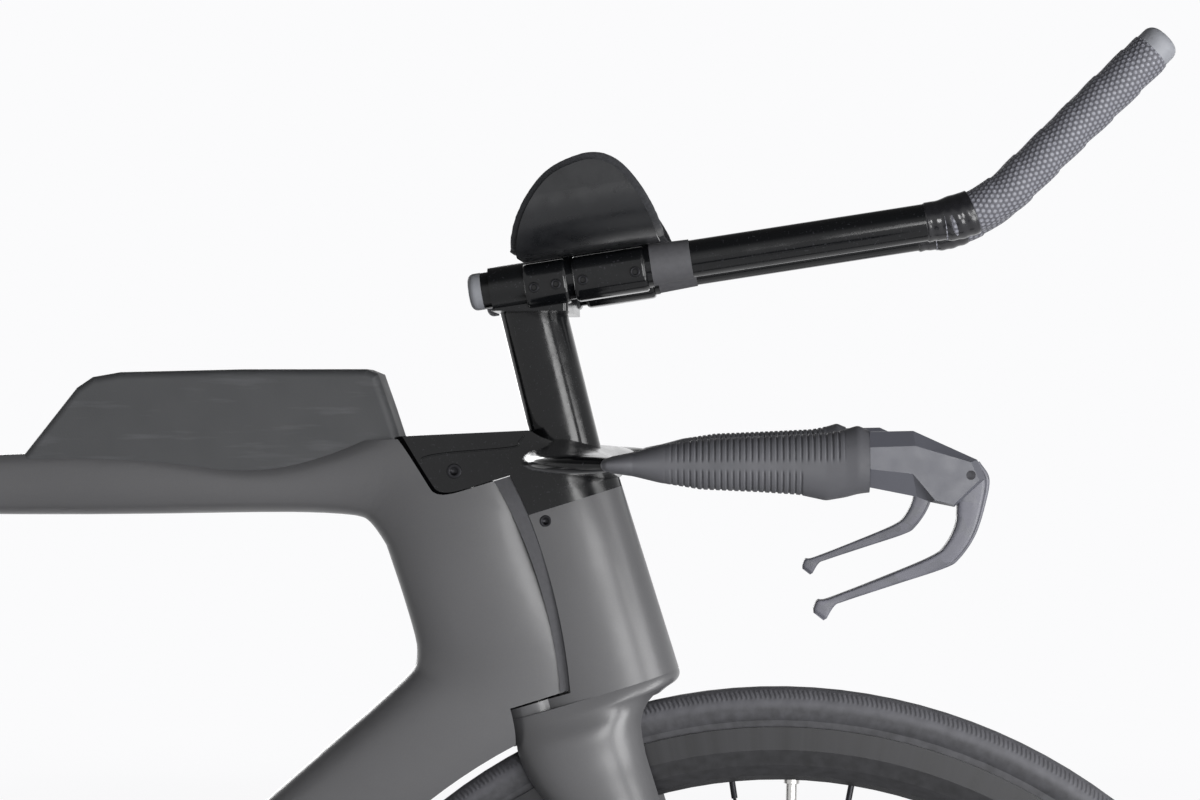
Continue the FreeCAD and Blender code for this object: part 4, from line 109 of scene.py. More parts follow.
def finish_material(tree, place, colours, tone, dull, rub=None, height=None, depth_mm=0.0, strength=0.0,
                    more=None):
    """Tone leads from the first colour to the second, rub spreads the roughness over the range dull, and
    height leans the normal as if it were depth_mm tall. Each of the three is an output of the tree, or random
    blots given as (size in mm, detail). A texture's scale counts blots in a metre: 1000 / size."""
    patterns = []
    for given in (tone, rub, height):
        if isinstance(given, tuple):
            size_mm, detail = given
            given = add(tree, "TexNoise", {"Vector": place, "Scale": 1000 / size_mm, "Detail": detail})["Fac"]
        patterns.append(given)
    tone, rub, height = patterns
    first, second = (linear(code) for code in colours)
    mixed = add(tree, "Mix", {MIX_FACTOR: tone, MIX_FIRST: first, MIX_SECOND: second}, data_type="RGBA")
    sockets = {"Base Color": mixed[MIX_COLOUR], **(more or {})}
    if rub is None:
        sockets["Roughness"] = dull
    else:
        low, high = dull
        spread = {"Value": rub, "From Min": NOISE_LOW, "From Max": NOISE_HIGH, "To Min": low, "To Max": high}
        sockets["Roughness"] = add(tree, "MapRange", spread)["Result"]
    if height is not None:
        relief = {"Height": height, "Distance": depth_mm / 1000, "Strength": strength}
        sockets["Normal"] = add(tree, "Bump", relief)["Normal"]
    shader = add(tree, "BsdfPrincipled", sockets)["BSDF"]
    add(tree, "OutputMaterial", {"Surface": shader})


print("white is", linear("#ffffff")[:3])

# %% [markdown]
# ## Light and background
# A white studio is one big, even source. The world lights the bike softly from all sides; to the camera, and
# in reflections, it is plain white, but overhead it darkens as under a black ceiling, so that the tops don't
# shine. The main softbox stands low, ahead of the bike and beside the camera, so the fork's nose is the
# brightest surface and the tubes darken towards the back. One further off fills the side, and one behind
# keeps the far side readable.

# %% World
STUDIO_WHITE = linear("#fbfbfc")
CEILING = 0.12  # brightness overhead, as a share of the walls'
SOFT_LIGHT = 0.12  # light between surfaces, as a share of what the camera sees


def seen_directly(tree):
    """1 for rays from the camera, and for mirror and glass rays, 0 for the soft light between surfaces."""
    ray = add(tree, "LightPath")
    mirror = add(tree, "Math", {0: ray["Is Camera Ray"], 1: ray["Is Glossy Ray"]}, operation="MAXIMUM")[0]
    return add(tree, "Math", {0: mirror, 1: ray["Is Transmission Ray"]}, operation="MAXIMUM")[0]


world = bpy.data.worlds.new("white_studio")
bpy.context.scene.world = world
world.use_nodes = True
sky = world.node_tree
sky.nodes.clear()
up = add(sky, "SeparateXYZ", {"Vector": add(sky, "TexCoord")["Object"]})["Z"]
bright = add(sky, "MapRange", {"Value": up, "From Min": 0.2, "From Max": 0.7, "To Min": 1.0,
                               "To Max": CEILING}, interpolation_type="SMOOTHSTEP")["Result"]
soft = add(sky, "Math", {0: bright, 1: SOFT_LIGHT}, operation="MULTIPLY")[0]
glow = add(sky, "Background", {"Color": linear("#ffffff"), "Strength": soft})[0]
white = add(sky, "Background", {"Color": STUDIO_WHITE, "Strength": bright})[0]
add(sky, "OutputWorld", {"Surface": add(sky, "MixShader", {0: seen_directly(sky), 1: glow, 2: white})[0]})
print("world", world.name)

# %% Softboxes
def softbox(name, place, target, size, power):
    """An area lamp of size (width, height) metres at place, turned to face the target."""
    lamp = bpy.data.lights.new(name, "AREA")
    lamp.shape = "RECTANGLE"
    lamp.size, lamp.size_y = size
    lamp.energy = power
    made = bpy.data.objects.new(name, lamp)
    made.location = place
    bpy.context.scene.collection.objects.link(made)
    x, y, z = np.array(target) - np.array(place)
    made.rotation_euler = (math.pi / 2 + math.atan2(z, math.hypot(x, y)), 0.0, math.atan2(-x, y))
    print("softbox", name, "at", place)


softbox("softbox_ahead", (1.6, -1.05, 0.66), (0.42, 0.0, 0.7), (0.7, 1.0), 20.0)
softbox("softbox_beside", (1.25, -2.9, 0.85), (0.3, 0.0, 0.8), (0.9, 0.9), 30.0)
softbox("softbox_behind", (-0.9, 2.8, 1.3), (0.0, 0.0, 0.6), (1.6, 1.4), 30.0)

# %% [markdown]
# ## The floor
# The floor is a pale disc. Near the bike it is a matt surface that takes the shadow; further out it fades
# into the white of the studio, so no horizon line crosses the picture.

# %% Floor
NEAR_FLOOR_GLOW = 0.78  # the painted part's own light, as a share of the white around it


def disc_mesh(name, radius, rings, spokes):
    """Rings of radius r(i) = R * (i / n) squared, so that the fine ones lie under the bike."""
    r = radius * (np.arange(1, rings + 1) / rings) ** 2
    a = 2 * np.pi * np.arange(spokes) / spokes
    ring = np.stack([np.outer(r, np.cos(a)), np.outer(r, np.sin(a)), np.zeros((rings, spokes))], -1)
    points = np.vstack([np.zeros((1, 3)), ring.reshape(-1, 3)])
    i, j = np.meshgrid(np.arange(rings - 1), np.arange(spokes), indexing="ij")
    k = (j + 1) % spokes
    quads = np.stack([1 + i * spokes + j, 1 + (i + 1) * spokes + j,
                      1 + (i + 1) * spokes + k, 1 + i * spokes + k], -1).reshape(-1, 4)
    middle = [[0, 1 + n, 1 + (n + 1) % spokes] for n in range(spokes)]
    mesh = bpy.data.meshes.new(name)
    mesh.from_pydata(points.tolist(), [], quads.tolist() + middle)
    return mesh


# Painted studio floor, rolled matt: the shadow falls on a slightly grey coat, and the rest glows white.
floor_paint, tree, place = material("matt_studio_floor_paint")
reach = add(tree, "VectorMath", {0: place}, operation="LENGTH")["Value"]
near = add(tree, "MapRange", {"Value": reach, "From Min": 1.2, "From Max": 6.0, "To Min": 1.0, "To Max": 0.0},
           interpolation_type="SMOOTHSTEP")["Result"]
blot = add(tree, "TexNoise", {"Vector": place, "Scale": 1000 / 900, "Detail": 3.0})["Fac"]
mottle = add(tree, "MapRange", {"Value": blot, "From Min": NOISE_LOW, "From Max": NOISE_HIGH,
                                "To Min": 0.96, "To Max": 1.0})["Result"]
lift = add(tree, "MapRange", {"Value": near, "To Min": 1.0, "To Max": NEAR_FLOOR_GLOW})["Result"]
seen = seen_directly(tree)
strength = add(tree, "Math", {0: seen, 1: mottle}, operation="MULTIPLY")[0]
strength = add(tree, "Math", {0: strength, 1: lift}, operation="MULTIPLY")[0]
paint = add(tree, "BsdfPrincipled", {"Base Color": linear("#727274"), "Roughness": 0.9,
                                     "Emission Color": STUDIO_WHITE, "Emission Strength": strength})["BSDF"]
glow = add(tree, "Emission", {"Color": STUDIO_WHITE, "Strength": seen})[0]
add(tree, "OutputMaterial", {"Surface": add(tree, "MixShader", {0: near, 1: glow, 2: paint})[0]})

floor = bpy.data.objects.new("studio_floor", disc_mesh("studio_floor", 40.0, 24, 72))
floor.data.materials.append(floor_paint)
bpy.context.scene.collection.objects.link(floor)
print("floor", len(floor.data.polygons), "faces")

# %% [markdown]
# ## Paint on carbon fibre
# The frame and fork are moulded carbon with a satin grey paint. Satin paint spreads a highlight wide without
# a sharp edge. Tiny pigment flakes and the spray's faint orange peel keep it from looking like plain plastic.

# %% Satin frame paint
frame_paint, tree, place = material("satin_grey_paint_sprayed_on_carbon")
cloud = add(tree, "TexNoise", {"Vector": place, "Scale": 1000 / 160, "Detail": 2.0})["Fac"]
flake = add(tree, "TexNoise", {"Vector": place, "Scale": 1000 / 0.9, "Detail": 1.0})["Fac"]
both = add(tree, "Math", {0: flake, 1: 0.22, 2: cloud}, operation="MULTIPLY_ADD")[0]
tone = add(tree, "MapRange", {"Value": both, "From Min": 0.35, "From Max": 0.85})["Result"]
finish_material(tree, place, ("#59595b", "#656567"), tone, dull=(0.33, 0.43), rub=(35.0, 3.0),
                height=(2.2, 2.0), depth_mm=0.012, strength=0.5,
                more={"Specular IOR Level": 0.5, "Coat Weight": 0.18, "Coat Roughness": 0.22})
print(frame_paint.name)

# %% [markdown]
# ## Gloss black lacquer
# Stem, riser, base bar and extensions are carbon under clear black lacquer. Its own colour is almost nothing,
# and all that the eye sees is what it mirrors, broken a little by polishing swirls and dust.

# %% Gloss black lacquer
gloss_black, tree, place = material("gloss_black_lacquer_polished")
speck = add(tree, "TexNoise", {"Vector": place, "Scale": 1000 / 1.6, "Detail": 1.0})["Fac"]
dust = add(tree, "MapRange", {"Value": speck, "From Min": 0.66, "From Max": 0.74})["Result"]
drawn = add(tree, "Mapping", {"Vector": place, "Scale": (1000 / 14, 1000 / 84, 1000 / 14)})["Vector"]
swirl = add(tree, "TexNoise", {"Vector": drawn, "Scale": 1.0, "Detail": 4.0})["Fac"]
finish_material(tree, place, ("#101113", "#2c2c30"), dust, dull=(0.09, 0.2), rub=swirl,
                height=(26.0, 2.0), depth_mm=0.05, strength=0.35, more={"Specular IOR Level": 0.32})
print(gloss_black.name)

# %% [markdown]
# ## Moulded plastics and rubbers
# The storage box, cups and hoods are moulded, and each mould leaves its own skin: spark-eroded grain on the
# box, a polished skin on the cups, and a fine matt grain on the rubber. Grain is a bump of well under a
# millimetre. Where it is too fine for the picture it is drawn a little coarser.

# %% Storage box, cups, seal, plugs and lever bodies
box_plastic, tree, place = material("slate_abs_moulded_with_spark_grain")
drawn = add(tree, "Mapping", {"Vector": place, "Scale": (1000 / 45, 1000 / 5, 1000 / 5)})["Vector"]
scratch = add(tree, "TexNoise", {"Vector": drawn, "Scale": 1.0, "Detail": 5.0})["Fac"]
scuff = add(tree, "MapRange", {"Value": scratch, "From Min": 0.56, "From Max": 0.78})["Result"]
finish_material(tree, place, ("#4a4b4d", "#5b5c5f"), scuff, dull=(0.5, 0.64), rub=(22.0, 3.0),
                height=(1.1, 2.0), depth_mm=0.09, strength=0.6)

cup_plastic, tree, place = material("black_nylon_moulded_semi_gloss")
finish_material(tree, place, ("#17181a", "#222326"), (40.0, 3.0), dull=(0.24, 0.38), rub=(9.0, 4.0),
                height=(1.4, 2.0), depth_mm=0.03, strength=0.5, more={"Specular IOR Level": 0.4})

seal_rubber, tree, place = material("charcoal_epdm_extruded")
finish_material(tree, place, ("#4e4e51", "#5f5f63"), (3.0, 5.0), dull=0.72,
                height=(0.9, 2.0), depth_mm=0.12, strength=0.7)

plug_rubber, tree, place = material("grey_rubber_plug_moulded")
finish_material(tree, place, ("#8f9197", "#a0a2a8"), (4.0, 5.0), dull=0.6,
                height=(0.9, 2.0), depth_mm=0.08, strength=0.6)

lever_plastic, tree, place = material("blue_grey_nylon_moulded_satin")
finish_material(tree, place, ("#52535a", "#5d5e66"), (30.0, 4.0), dull=(0.3, 0.42), rub=(7.0, 3.0),
                height=(0.8, 2.0), depth_mm=0.025, strength=0.6, more={"Specular IOR Level": 0.5})
print(box_plastic.name, cup_plastic.name, seal_rubber.name, lever_plastic.name)

# %% [markdown]
# ## Lever blades
# The blades are pressed from chopped carbon fibre. The chips lie flat at random angles, so the grey is
# mottled in patches of a few millimetres, and each patch is a little shinier or duller than the next.

# %% Chopped fibre blades
lever_composite, tree, place = material("chopped_carbon_pressed_satin")
drawn = add(tree, "Mapping", {"Vector": place, "Scale": (170.0, 170.0, 260.0)})["Vector"]
chip = add(tree, "TexVoronoi", {"Vector": drawn, "Scale": 1.0})["Color"]
chip = add(tree, "SeparateColor", {"Color": chip})["Red"]
cloud = add(tree, "TexNoise", {"Vector": place, "Scale": 1000 / 14, "Detail": 5.0})["Fac"]
patch = add(tree, "Math", {0: cloud, 1: 1.3, 2: chip}, operation="MULTIPLY_ADD")[0]
tone = add(tree, "MapRange", {"Value": patch, "From Min": 0.5, "From Max": 1.4})["Result"]
dull = add(tree, "MapRange", {"Value": chip, "To Min": 0.36, "To Max": 0.5})["Result"]
finish_material(tree, place, ("#55565d", "#686871"), tone, dull,
                height=(2.4, 3.0), depth_mm=0.03, strength=0.5)
print(lever_composite.name)

# %% [markdown]
# ## Wheels
# The tyre is a bead of rubber with fine ribs moulded across each shoulder. Its pattern turns with the wheel,
# so it is drawn from the angle round the axle: the arc tangent of the height above the axle and the distance
# ahead of it. The rim is satin carbon with a faint grain along the hoop.

# %% Tyre and rim
RIB_COUNT = 704  # ribs 3 mm apart round a hoop of 336 mm radius: 2 pi 336 / 3
RIB_LEAN = 900.0  # radians by which the ribs run on for each metre sideways


def around(tree, place, axle):
    """The angle round the axle in radians, and the distances from the wheel's middle plane and its axle."""
    local = add(tree, "VectorMath", {0: place, 1: tuple(axle)}, operation="SUBTRACT")["Vector"]
    x, y, z = add(tree, "SeparateXYZ", {"Vector": local})
    angle = add(tree, "Math", {0: z, 1: x}, operation="ARCTAN2")[0]
    side = add(tree, "Math", {0: y}, operation="ABSOLUTE")[0]
    plane = add(tree, "CombineXYZ", {"X": x, "Z": z})["Vector"]
    return angle, side, add(tree, "VectorMath", {0: plane}, operation="LENGTH")["Value"]


def tyre_rubber(name, axle):
    """A sine wave round the hoop, faded out at the crown, the sidewall and the rim; the outer band is painted
    paler, a painted highlight.
    """
    made, tree, place = material(name)
    angle, side, reach = around(tree, place, axle)
    lean = add(tree, "Math", {0: side, 1: RIB_LEAN}, operation="MULTIPLY")[0]
    turn = add(tree, "Math", {0: angle, 1: float(RIB_COUNT), 2: lean}, operation="MULTIPLY_ADD")[0]
    rib = add(tree, "Math", {0: turn}, operation="SINE")[0]
    for value, start, end, first, last in ((side, 0.0055, 0.0075, 0.0, 1.0), (side, 0.0102, 0.0112, 1.0, 0.0),
                                           (reach, 0.3245, 0.3265, 0.0, 1.0)):
        mask = add(tree, "MapRange", {"Value": value, "From Min": start, "From Max": end, "To Min": first,
                                      "To Max": last}, interpolation_type="SMOOTHSTEP")["Result"]
        rib = add(tree, "Math", {0: rib, 1: mask}, operation="MULTIPLY")[0]
    blot = add(tree, "TexNoise", {"Vector": place, "Scale": 1000 / 6, "Detail": 4.0})["Fac"]
    worn = add(tree, "MapRange", {"Value": blot, "From Min": NOISE_LOW, "From Max": NOISE_HIGH,
                                  "To Max": 0.35})["Result"]
    # Painted highlight: the outer band is paler, standing in for the light that falls on the tyre's top.
    tread_painted_highlight = add(tree, "MapRange", {"Value": reach, "From Min": 0.3225, "From Max": 0.3275, "To Max": 0.65},
                interpolation_type="SMOOTHSTEP")["Result"]
    tone = add(tree, "Math", {0: worn, 1: tread_painted_highlight}, operation="ADD")[0]
    finish_material(tree, place, ("#37373a", "#65656a"), tone, dull=0.66,
                    height=rib, depth_mm=0.35, strength=0.8)
    return made


def carbon_rim(name, axle):
    """Unidirectional carbon: streaks many times as long round the hoop as they are wide."""
    made, tree, place = material(name)
    angle, side = around(tree, place, axle)[:2]
    flow = add(tree, "CombineXYZ", {"X": angle, "Y": side})["Vector"]
    grain = add(tree, "Mapping", {"Vector": flow, "Scale": (40.0, 900.0, 1.0)})["Vector"]
    streak = add(tree, "TexNoise", {"Vector": grain, "Scale": 1.0, "Detail": 3.0})["Fac"]
    tone = add(tree, "MapRange", {"Value": streak, "From Min": NOISE_LOW, "From Max": NOISE_HIGH})["Result"]
    finish_material(tree, place, ("#1d1d1f", "#2a2a2d"), tone, dull=(0.3, 0.42), rub=streak,
                    height=(3.0, 2.0), depth_mm=0.02, strength=0.4, more={"Specular IOR Level": 0.4})
    return made


front_tyre_rubber = tyre_rubber("front_tyre_rubber_moulded_ribs", FRONT_AXLE)
rear_tyre_rubber = tyre_rubber("rear_tyre_rubber_moulded_ribs", REAR_AXLE)
front_rim_carbon = carbon_rim("front_rim_carbon_satin_lacquer", FRONT_AXLE)
rear_rim_carbon = carbon_rim("rear_rim_carbon_satin_lacquer", REAR_AXLE)
print(front_tyre_rubber.name, front_rim_carbon.name)

# %% [markdown]
# ## Metals
# Three metals do the work: black anodised aluminium on hubs, cranks and calipers, black oxide steel on
# spokes and bolts, and plated steel on the cassette, rotors and chain. Stamped sheet carries fine lines that
# stretch the highlight; a stretched noise stands for them. Pedals and saddle shell are plain moulded plastic.

# %% Metals, pedals and saddle shell
black_alloy, tree, place = material("aluminium_black_anodised_bead_blasted")
finish_material(tree, place, ("#1c1c1f", "#29292d"), (12.0, 3.0), dull=(0.34, 0.48), rub=(5.0, 4.0),
                height=(0.8, 2.0), depth_mm=0.02, strength=0.5, more={"Metallic": 0.75})

black_steel, tree, place = material("steel_black_oxide_drawn")
finish_material(tree, place, ("#1a1a1c", "#2b2b2e"), (8.0, 3.0), dull=(0.3, 0.44), rub=(3.0, 3.0),
                more={"Metallic": 0.85})

bare_steel, tree, place = material("steel_stamped_nickel_plated")
smear = add(tree, "TexNoise", {"Vector": place, "Scale": 1000 / 5, "Detail": 4.0})["Fac"]
oil = add(tree, "MapRange", {"Value": smear, "From Min": 0.5, "From Max": 0.75})["Result"]
drawn = add(tree, "Mapping", {"Vector": place, "Scale": (1000 / 9.6, 1000 / 1.2, 1000 / 1.2)})["Vector"]
line = add(tree, "TexNoise", {"Vector": drawn, "Scale": 1.0, "Detail": 3.0})["Fac"]
finish_material(tree, place, ("#a5a6aa", "#6d6c6b"), oil, dull=(0.24, 0.4), rub=(2.0, 4.0),
                height=line, depth_mm=0.015, strength=0.5, more={"Metallic": 1.0})

pedal_plastic, tree, place = material("black_composite_moulded_matt")
finish_material(tree, place, ("#202022", "#303034"), (9.0, 4.0), dull=(0.45, 0.6), rub=(3.0, 3.0),
                height=(1.0, 2.0), depth_mm=0.06, strength=0.6)

saddle_base, tree, place = material("saddle_shell_nylon_moulded_matt")
finish_material(tree, place, ("#1b1b1d", "#29292b"), (20.0, 4.0), dull=0.5,
                height=(1.3, 2.0), depth_mm=0.08, strength=0.6)
print(black_alloy.name, black_steel.name, bare_steel.name)

# %% [markdown]
# ## Dress the solid parts
# Every part that stays as the solid model made it takes one of these finishes. The names on the left are
# materials, the names on the right are parts of the bike.

# %% Finishes by part
FINISHES = {
    frame_paint: ["main_frame", "rear_triangle", "fork", "fork_legs", "seatpost"],
    gloss_black: ["stem", "base_bar", "riser_post", "extension_holders", "extensions", "steerer_tube"],
    box_plastic: ["storage_box", "storage_box_lid"],
    seal_rubber: ["head_gap_seal", "extension_sleeves"],
    plug_rubber: ["bar_plugs"],
    cup_plastic: ["arm_cups"],
    lever_plastic: ["lever_bodies"],
    front_tyre_rubber: ["front_tyre"],
    rear_tyre_rubber: ["rear_tyre"],
    front_rim_carbon: ["front_rim"],
    rear_rim_carbon: ["rear_rim"],
    black_alloy: ["front_hub", "rear_hub", "front_axle", "rear_axle", "front_caliper", "rear_caliper",
                  "bottom_bracket", "right_crank", "left_crank", "headset_bearings", "derailleur_hanger",
                  "derailleur_knuckle", "derailleur_mount", "derailleur_link", "derailleur_cage",
                  "saddle_clamp", "saddle_rails", "chainring"],
    black_steel: ["front_spokes", "rear_spokes", "cockpit_bolts", "front_brake_pad", "rear_brake_pad"],
    bare_steel: ["front_rotor", "rear_rotor", "cassette", "chain"],
    pedal_plastic: ["right_pedal", "left_pedal", "guide_pulley", "tension_pulley"],
    saddle_base: ["saddle_shell"],
}
for finish, names in FINISHES.items():
    for name in names:
        nodes[name].data.materials.clear()
        nodes[name].data.materials.append(finish)
left_over = sorted(set(nodes) - {n for names in FINISHES.values() for n in names})
print("still to be made as pieces:", left_over)

# %% [markdown]
# ## Surfaces from arrays
# The ribbed, wound and turned pieces are skins: a grid of points whose rows are closed loops. One function
# joins the grid into quads, closes both ends with a fan, and gives each face corner its place in
# millimetres along and around the skin as UV, so that a pattern can follow the surface.

# %% Skin from a grid of points
def piece(name, mesh, material, body, slot, *stands_for):
    """Puts a finished mesh into the scene, riding on a body and standing for parts of the solid model."""
    made = bpy.data.objects.new(name, mesh)
    made.data.materials.append(material)
    bpy.context.scene.collection.objects.link(made)
    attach(made, body)
    if stands_for:
        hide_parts(*stands_for)
    print("made", name, len(mesh.polygons), "faces")


def skin(name, grids):
    """Each grid is rows x columns x 3. Columns close round, and a fan closes each end. U and V are the mean
    lengths along the rows and round the columns, in millimetres. A skin that encloses a negative volume is
    inside out, so its faces are turned."""
    points, faces, uvs, start = [], [], [], 0
    for grid in grids:
        n, m = grid.shape[:2]
        i, j = np.meshgrid(np.arange(n - 1), np.arange(m), indexing="ij")
        k = (j + 1) % m
        quads = np.stack([i * m + j, (i + 1) * m + j, (i + 1) * m + k, i * m + k], -1).reshape(-1, 4)
        closed = np.concatenate([grid, grid[:, :1]], 1)
        along_mm = 1000 * np.linalg.norm(np.diff(grid, axis=0), axis=2).mean(1)
        around_mm = 1000 * np.linalg.norm(np.diff(closed, axis=1), axis=2).mean(0)
        u, v = (np.concatenate([[0.0], np.cumsum(steps)]) for steps in (along_mm, around_mm))
        corners = np.stack([np.stack([u[row], v[column]], -1) for row, column in
                            ((i, j), (i + 1, j), (i + 1, j + 1), (i, j + 1))], 2).reshape(-1, 4, 2)
        a, b, c, d = np.moveaxis(grid.reshape(-1, 3)[quads], 1, 0)
        inside_out = bool(np.sum(a * (np.cross(b, c) + np.cross(c, d))) < 0)
        if inside_out:
            quads, corners = quads[:, ::-1], corners[:, ::-1]
        points += [grid.reshape(-1, 3), grid[0].mean(0)[None], grid[-1].mean(0)[None]]
        faces += (quads + start).tolist()
        uvs.append(corners.reshape(-1, 2))
        for row, centre, backward in ((0, n * m, inside_out), (n - 1, n * m + 1, not inside_out)):
            edge = np.arange(m) + row * m
            edge = edge[::-1] if backward else edge
            faces += (np.stack([np.full(m, centre), np.roll(edge, -1), edge], -1) + start).tolist()
            uvs.append(np.zeros((3 * m, 2)))
        start += n * m + 2
    mesh = bpy.data.meshes.new(name)
    mesh.from_pydata(np.vstack(points).tolist(), [], faces)
    mesh.polygons.foreach_set("use_smooth", np.ones(len(faces), bool))
    layer = mesh.uv_layers.new(name="surface_mm")
    layer.data.foreach_set("uv", np.vstack(uvs).astype(np.float32).ravel())
    return mesh


def mirrored(grid):
    """The same skin on the other side of the bike: y changes sign, and the loops run the other way."""
    return (grid * np.array([1.0, -1.0, 1.0]))[:, ::-1]


def loop(count, power=2.0):
    """A closed unit superellipse: cosine and sine, each raised to 2 / power with its sign kept."""
    a = 2 * np.pi * np.arange(count) / count
    c, s = np.cos(a), np.sin(a)
    return np.sign(c) * np.abs(c) ** (2 / power), np.sign(s) * np.abs(s) ** (2 / power)


def smooth_step(x, low, high):
    """0 below low, 1 above high, and 3t^2 - 2t^3 between."""
    t = np.clip((x - low) / (high - low), 0.0, 1.0)
    return t * t * (3 - 2 * t)


print("a loop has", len(loop(64)[0]), "points")

# %% [markdown]
# ## Rubber hand grips
# Each grip is a hood of soft rubber, ribbed across above and below, with a plain stripe along its side and a
# flared collar that stops the hand. The ribs could be painted as bump, but they also notch the outline, so
# the skin itself is pressed in: a groove every 3.3 mm, faded out at the stripe, the tip and the collar.

# %% Grip rubber
grip_rubber, tree, place = material("charcoal_thermoplastic_rubber_moulded")
finish_material(tree, place, ("#515256", "#5f5f64"), (18.0, 4.0), dull=(0.5, 0.62), rub=(6.0, 3.0),
                height=(0.9, 2.0), depth_mm=0.05, strength=0.5)
print(grip_rubber.name)

# %% Grip skin
GRIP_SIDE, GRIP_HEIGHT = 0.195, 0.811  # the grip's line: out from the bike's middle, and above the floor
BAR_BEND, BEND_END = 0.040, -0.080  # the bar's bend: its radius, and its end as seen from the front axle
TIP = 0.0125  # length of grip that lies on the bend
RIB_PITCH, RIB_DEPTH = 0.0033, 0.00065
GRIP_ALONG = np.array([-92.4, -80, -66, -44, -12, 9, 23, 33.5, 40, 46]) / 1000
GRIP_TOP = np.array([4.3, 6.9, 10.7, 14.1, 15.5, 16.5, 17.2, 19.2, 21.2, 18.6]) / 1000
GRIP_LOW = np.array([4.3, 6.2, 9.6, 13.2, 14.6, 16.0, 19.0, 17.2, 15.4, 14.6]) / 1000
GRIP_HALF = np.array([13.6, 13.6, 13.6, 13.6, 13.6, 13.6, 13.8, 14.8, 16.0, 16.0]) / 1000


def eased(x, values):
    """A smooth curve by values at the grip's stations: straight pieces, then a running mean of a few mm."""
    fine = np.linspace(GRIP_ALONG[0] - 0.02, GRIP_ALONG[-1] + 0.02, 1200)
    raw = np.interp(fine, GRIP_ALONG, values)
    window = np.hanning(37) / np.hanning(37).sum()
    return np.interp(x, fine, np.convolve(np.pad(raw, 18, mode="edge"), window, "valid"))


def grip_grid():
    """Loops across the bar's middle line. Until 80 mm behind the front axle the line is an arc of 40 mm
    radius, and the loop is a flat blade there; from there on it is straight. The height above, the height
    below and the half width are smooth curves by a few chosen stations. Points sink where a groove runs."""
    rows, columns = 430, 96
    run = np.linspace(-TIP, 0.126, rows)
    bent = run < 0
    turn = np.clip(-run / BAR_BEND, 0.0, 1.0)
    x = np.where(bent, BEND_END - BAR_BEND * np.sin(turn), BEND_END + run)
    y = np.where(bent, BAR_BEND - GRIP_SIDE - BAR_BEND * np.cos(turn), -GRIP_SIDE)
    top, low, half = (eased(x, values) for values in (GRIP_TOP, GRIP_LOW, GRIP_HALF))
    half = half + 0.0028 * np.clip(-run / TIP, 0.0, 1.0)
    close = smooth_step(run, -0.0128, -0.0098)
    top, low = (height * close + 0.004 * (1 - close) for height in (top, low))
    half = half - 0.0016 * (1 - close)
    c, s = loop(columns, 2.2)
    groove = smooth_step(np.cos(2 * np.pi * x / RIB_PITCH), 0.25, 0.85)[:, None] * RIB_DEPTH
    upper = smooth_step(s, 0.14, 0.2)[None] * smooth_step(0.034 - x, 0.0, 0.004)[:, None]
    under = smooth_step(-s, 0.2, 0.27)[None] * smooth_step(0.013 - x, 0.0, 0.004)[:, None]
    sink = groove * (upper + under) * smooth_step(x, -0.066, -0.05)[:, None]
    side = (half[:, None] - sink) * c[None]
    rise = np.where(s > 0, top[:, None] - sink, low[:, None] - sink) * s[None]
    out_x, out_y = np.where(bent, np.sin(turn), 0.0)[:, None], np.where(bent, np.cos(turn), 1.0)[:, None]
    x, y = FRONT_AXLE[0] + x[:, None], y[:, None]
    return np.stack([x + side * out_x, y + side * out_y, GRIP_HEIGHT + rise], -1)


right_grip = grip_grid()
piece("hand_grips", skin("hand_grips", [right_grip, mirrored(right_grip)]), grip_rubber,
      "steering", "grip_rubber", "base_bar_grips")

# %% [markdown]
# ## Wound bar tape
# The ends of the extensions are wrapped in a cushioned tape with a honeycomb pressed into it. Wound tape
# shows its turns: each turn lies on the edge of the last, so the outline steps every 22 mm along a helix.
# The honeycomb is three cosine waves at 60 degrees to each other, drawn in millimetres along the skin.

# %% Tape with a honeycomb emboss
CELL_MM = 3.3
WAVE = 2 * math.pi / (CELL_MM * math.cos(math.radians(30)))
tape_rubber, tree, place = material("cushioned_tape_embossed_honeycomb")
on_skin = add(tree, "SeparateXYZ", {"Vector": add(tree, "UVMap", uv_map="surface_mm")["UV"]})
total = 0.0
for degrees in (0, 60, 120):
    a = math.radians(degrees)
    along = add(tree, "Math", {0: on_skin["X"], 1: WAVE * math.cos(a)}, operation="MULTIPLY")[0]
    phase = add(tree, "Math", {0: on_skin["Y"], 1: WAVE * math.sin(a), 2: along}, operation="MULTIPLY_ADD")[0]
    wave = add(tree, "Math", {0: phase}, operation="COSINE")[0]
    total = add(tree, "Math", {0: wave, 1: total}, operation="ADD")[0]
# The cells' height also sets their colour: a painted highlight on the raised cells and painted shade in the
# hollows.
relief_and_painted_light = add(tree, "MapRange", {"Value": total, "From Min": -1.2, "From Max": 1.4})["Result"]
dull = add(tree, "MapRange", {"Value": relief_and_painted_light, "To Min": 0.62, "To Max": 0.42})["Result"]
finish_material(tree, place, ("#58585f", "#91929b"), relief_and_painted_light, dull, height=relief_and_painted_light, depth_mm=0.45, strength=0.9)
print(tape_rubber.name)

# %% Tape skin
TILT, RISE = math.radians(8.6), math.radians(44.4)  # slope before and after the bend
BEND = 0.078  # the bend's radius
CORNER_AHEAD, EXTENSION_SIDE, EXTENSION_HEIGHT = 0.121, 0.045, 0.939
CORNER = np.array([FRONT_AXLE[0] + CORNER_AHEAD, -EXTENSION_SIDE,
                   EXTENSION_HEIGHT + CORNER_AHEAD * math.tan(TILT)])
REACH = BEND * math.tan((RISE - TILT) / 2)
ARC = BEND * (RISE - TILT)
BEND_START = CORNER - REACH * np.array([math.cos(TILT), 0.0, math.sin(TILT)])
TAPE_TURN = 0.022


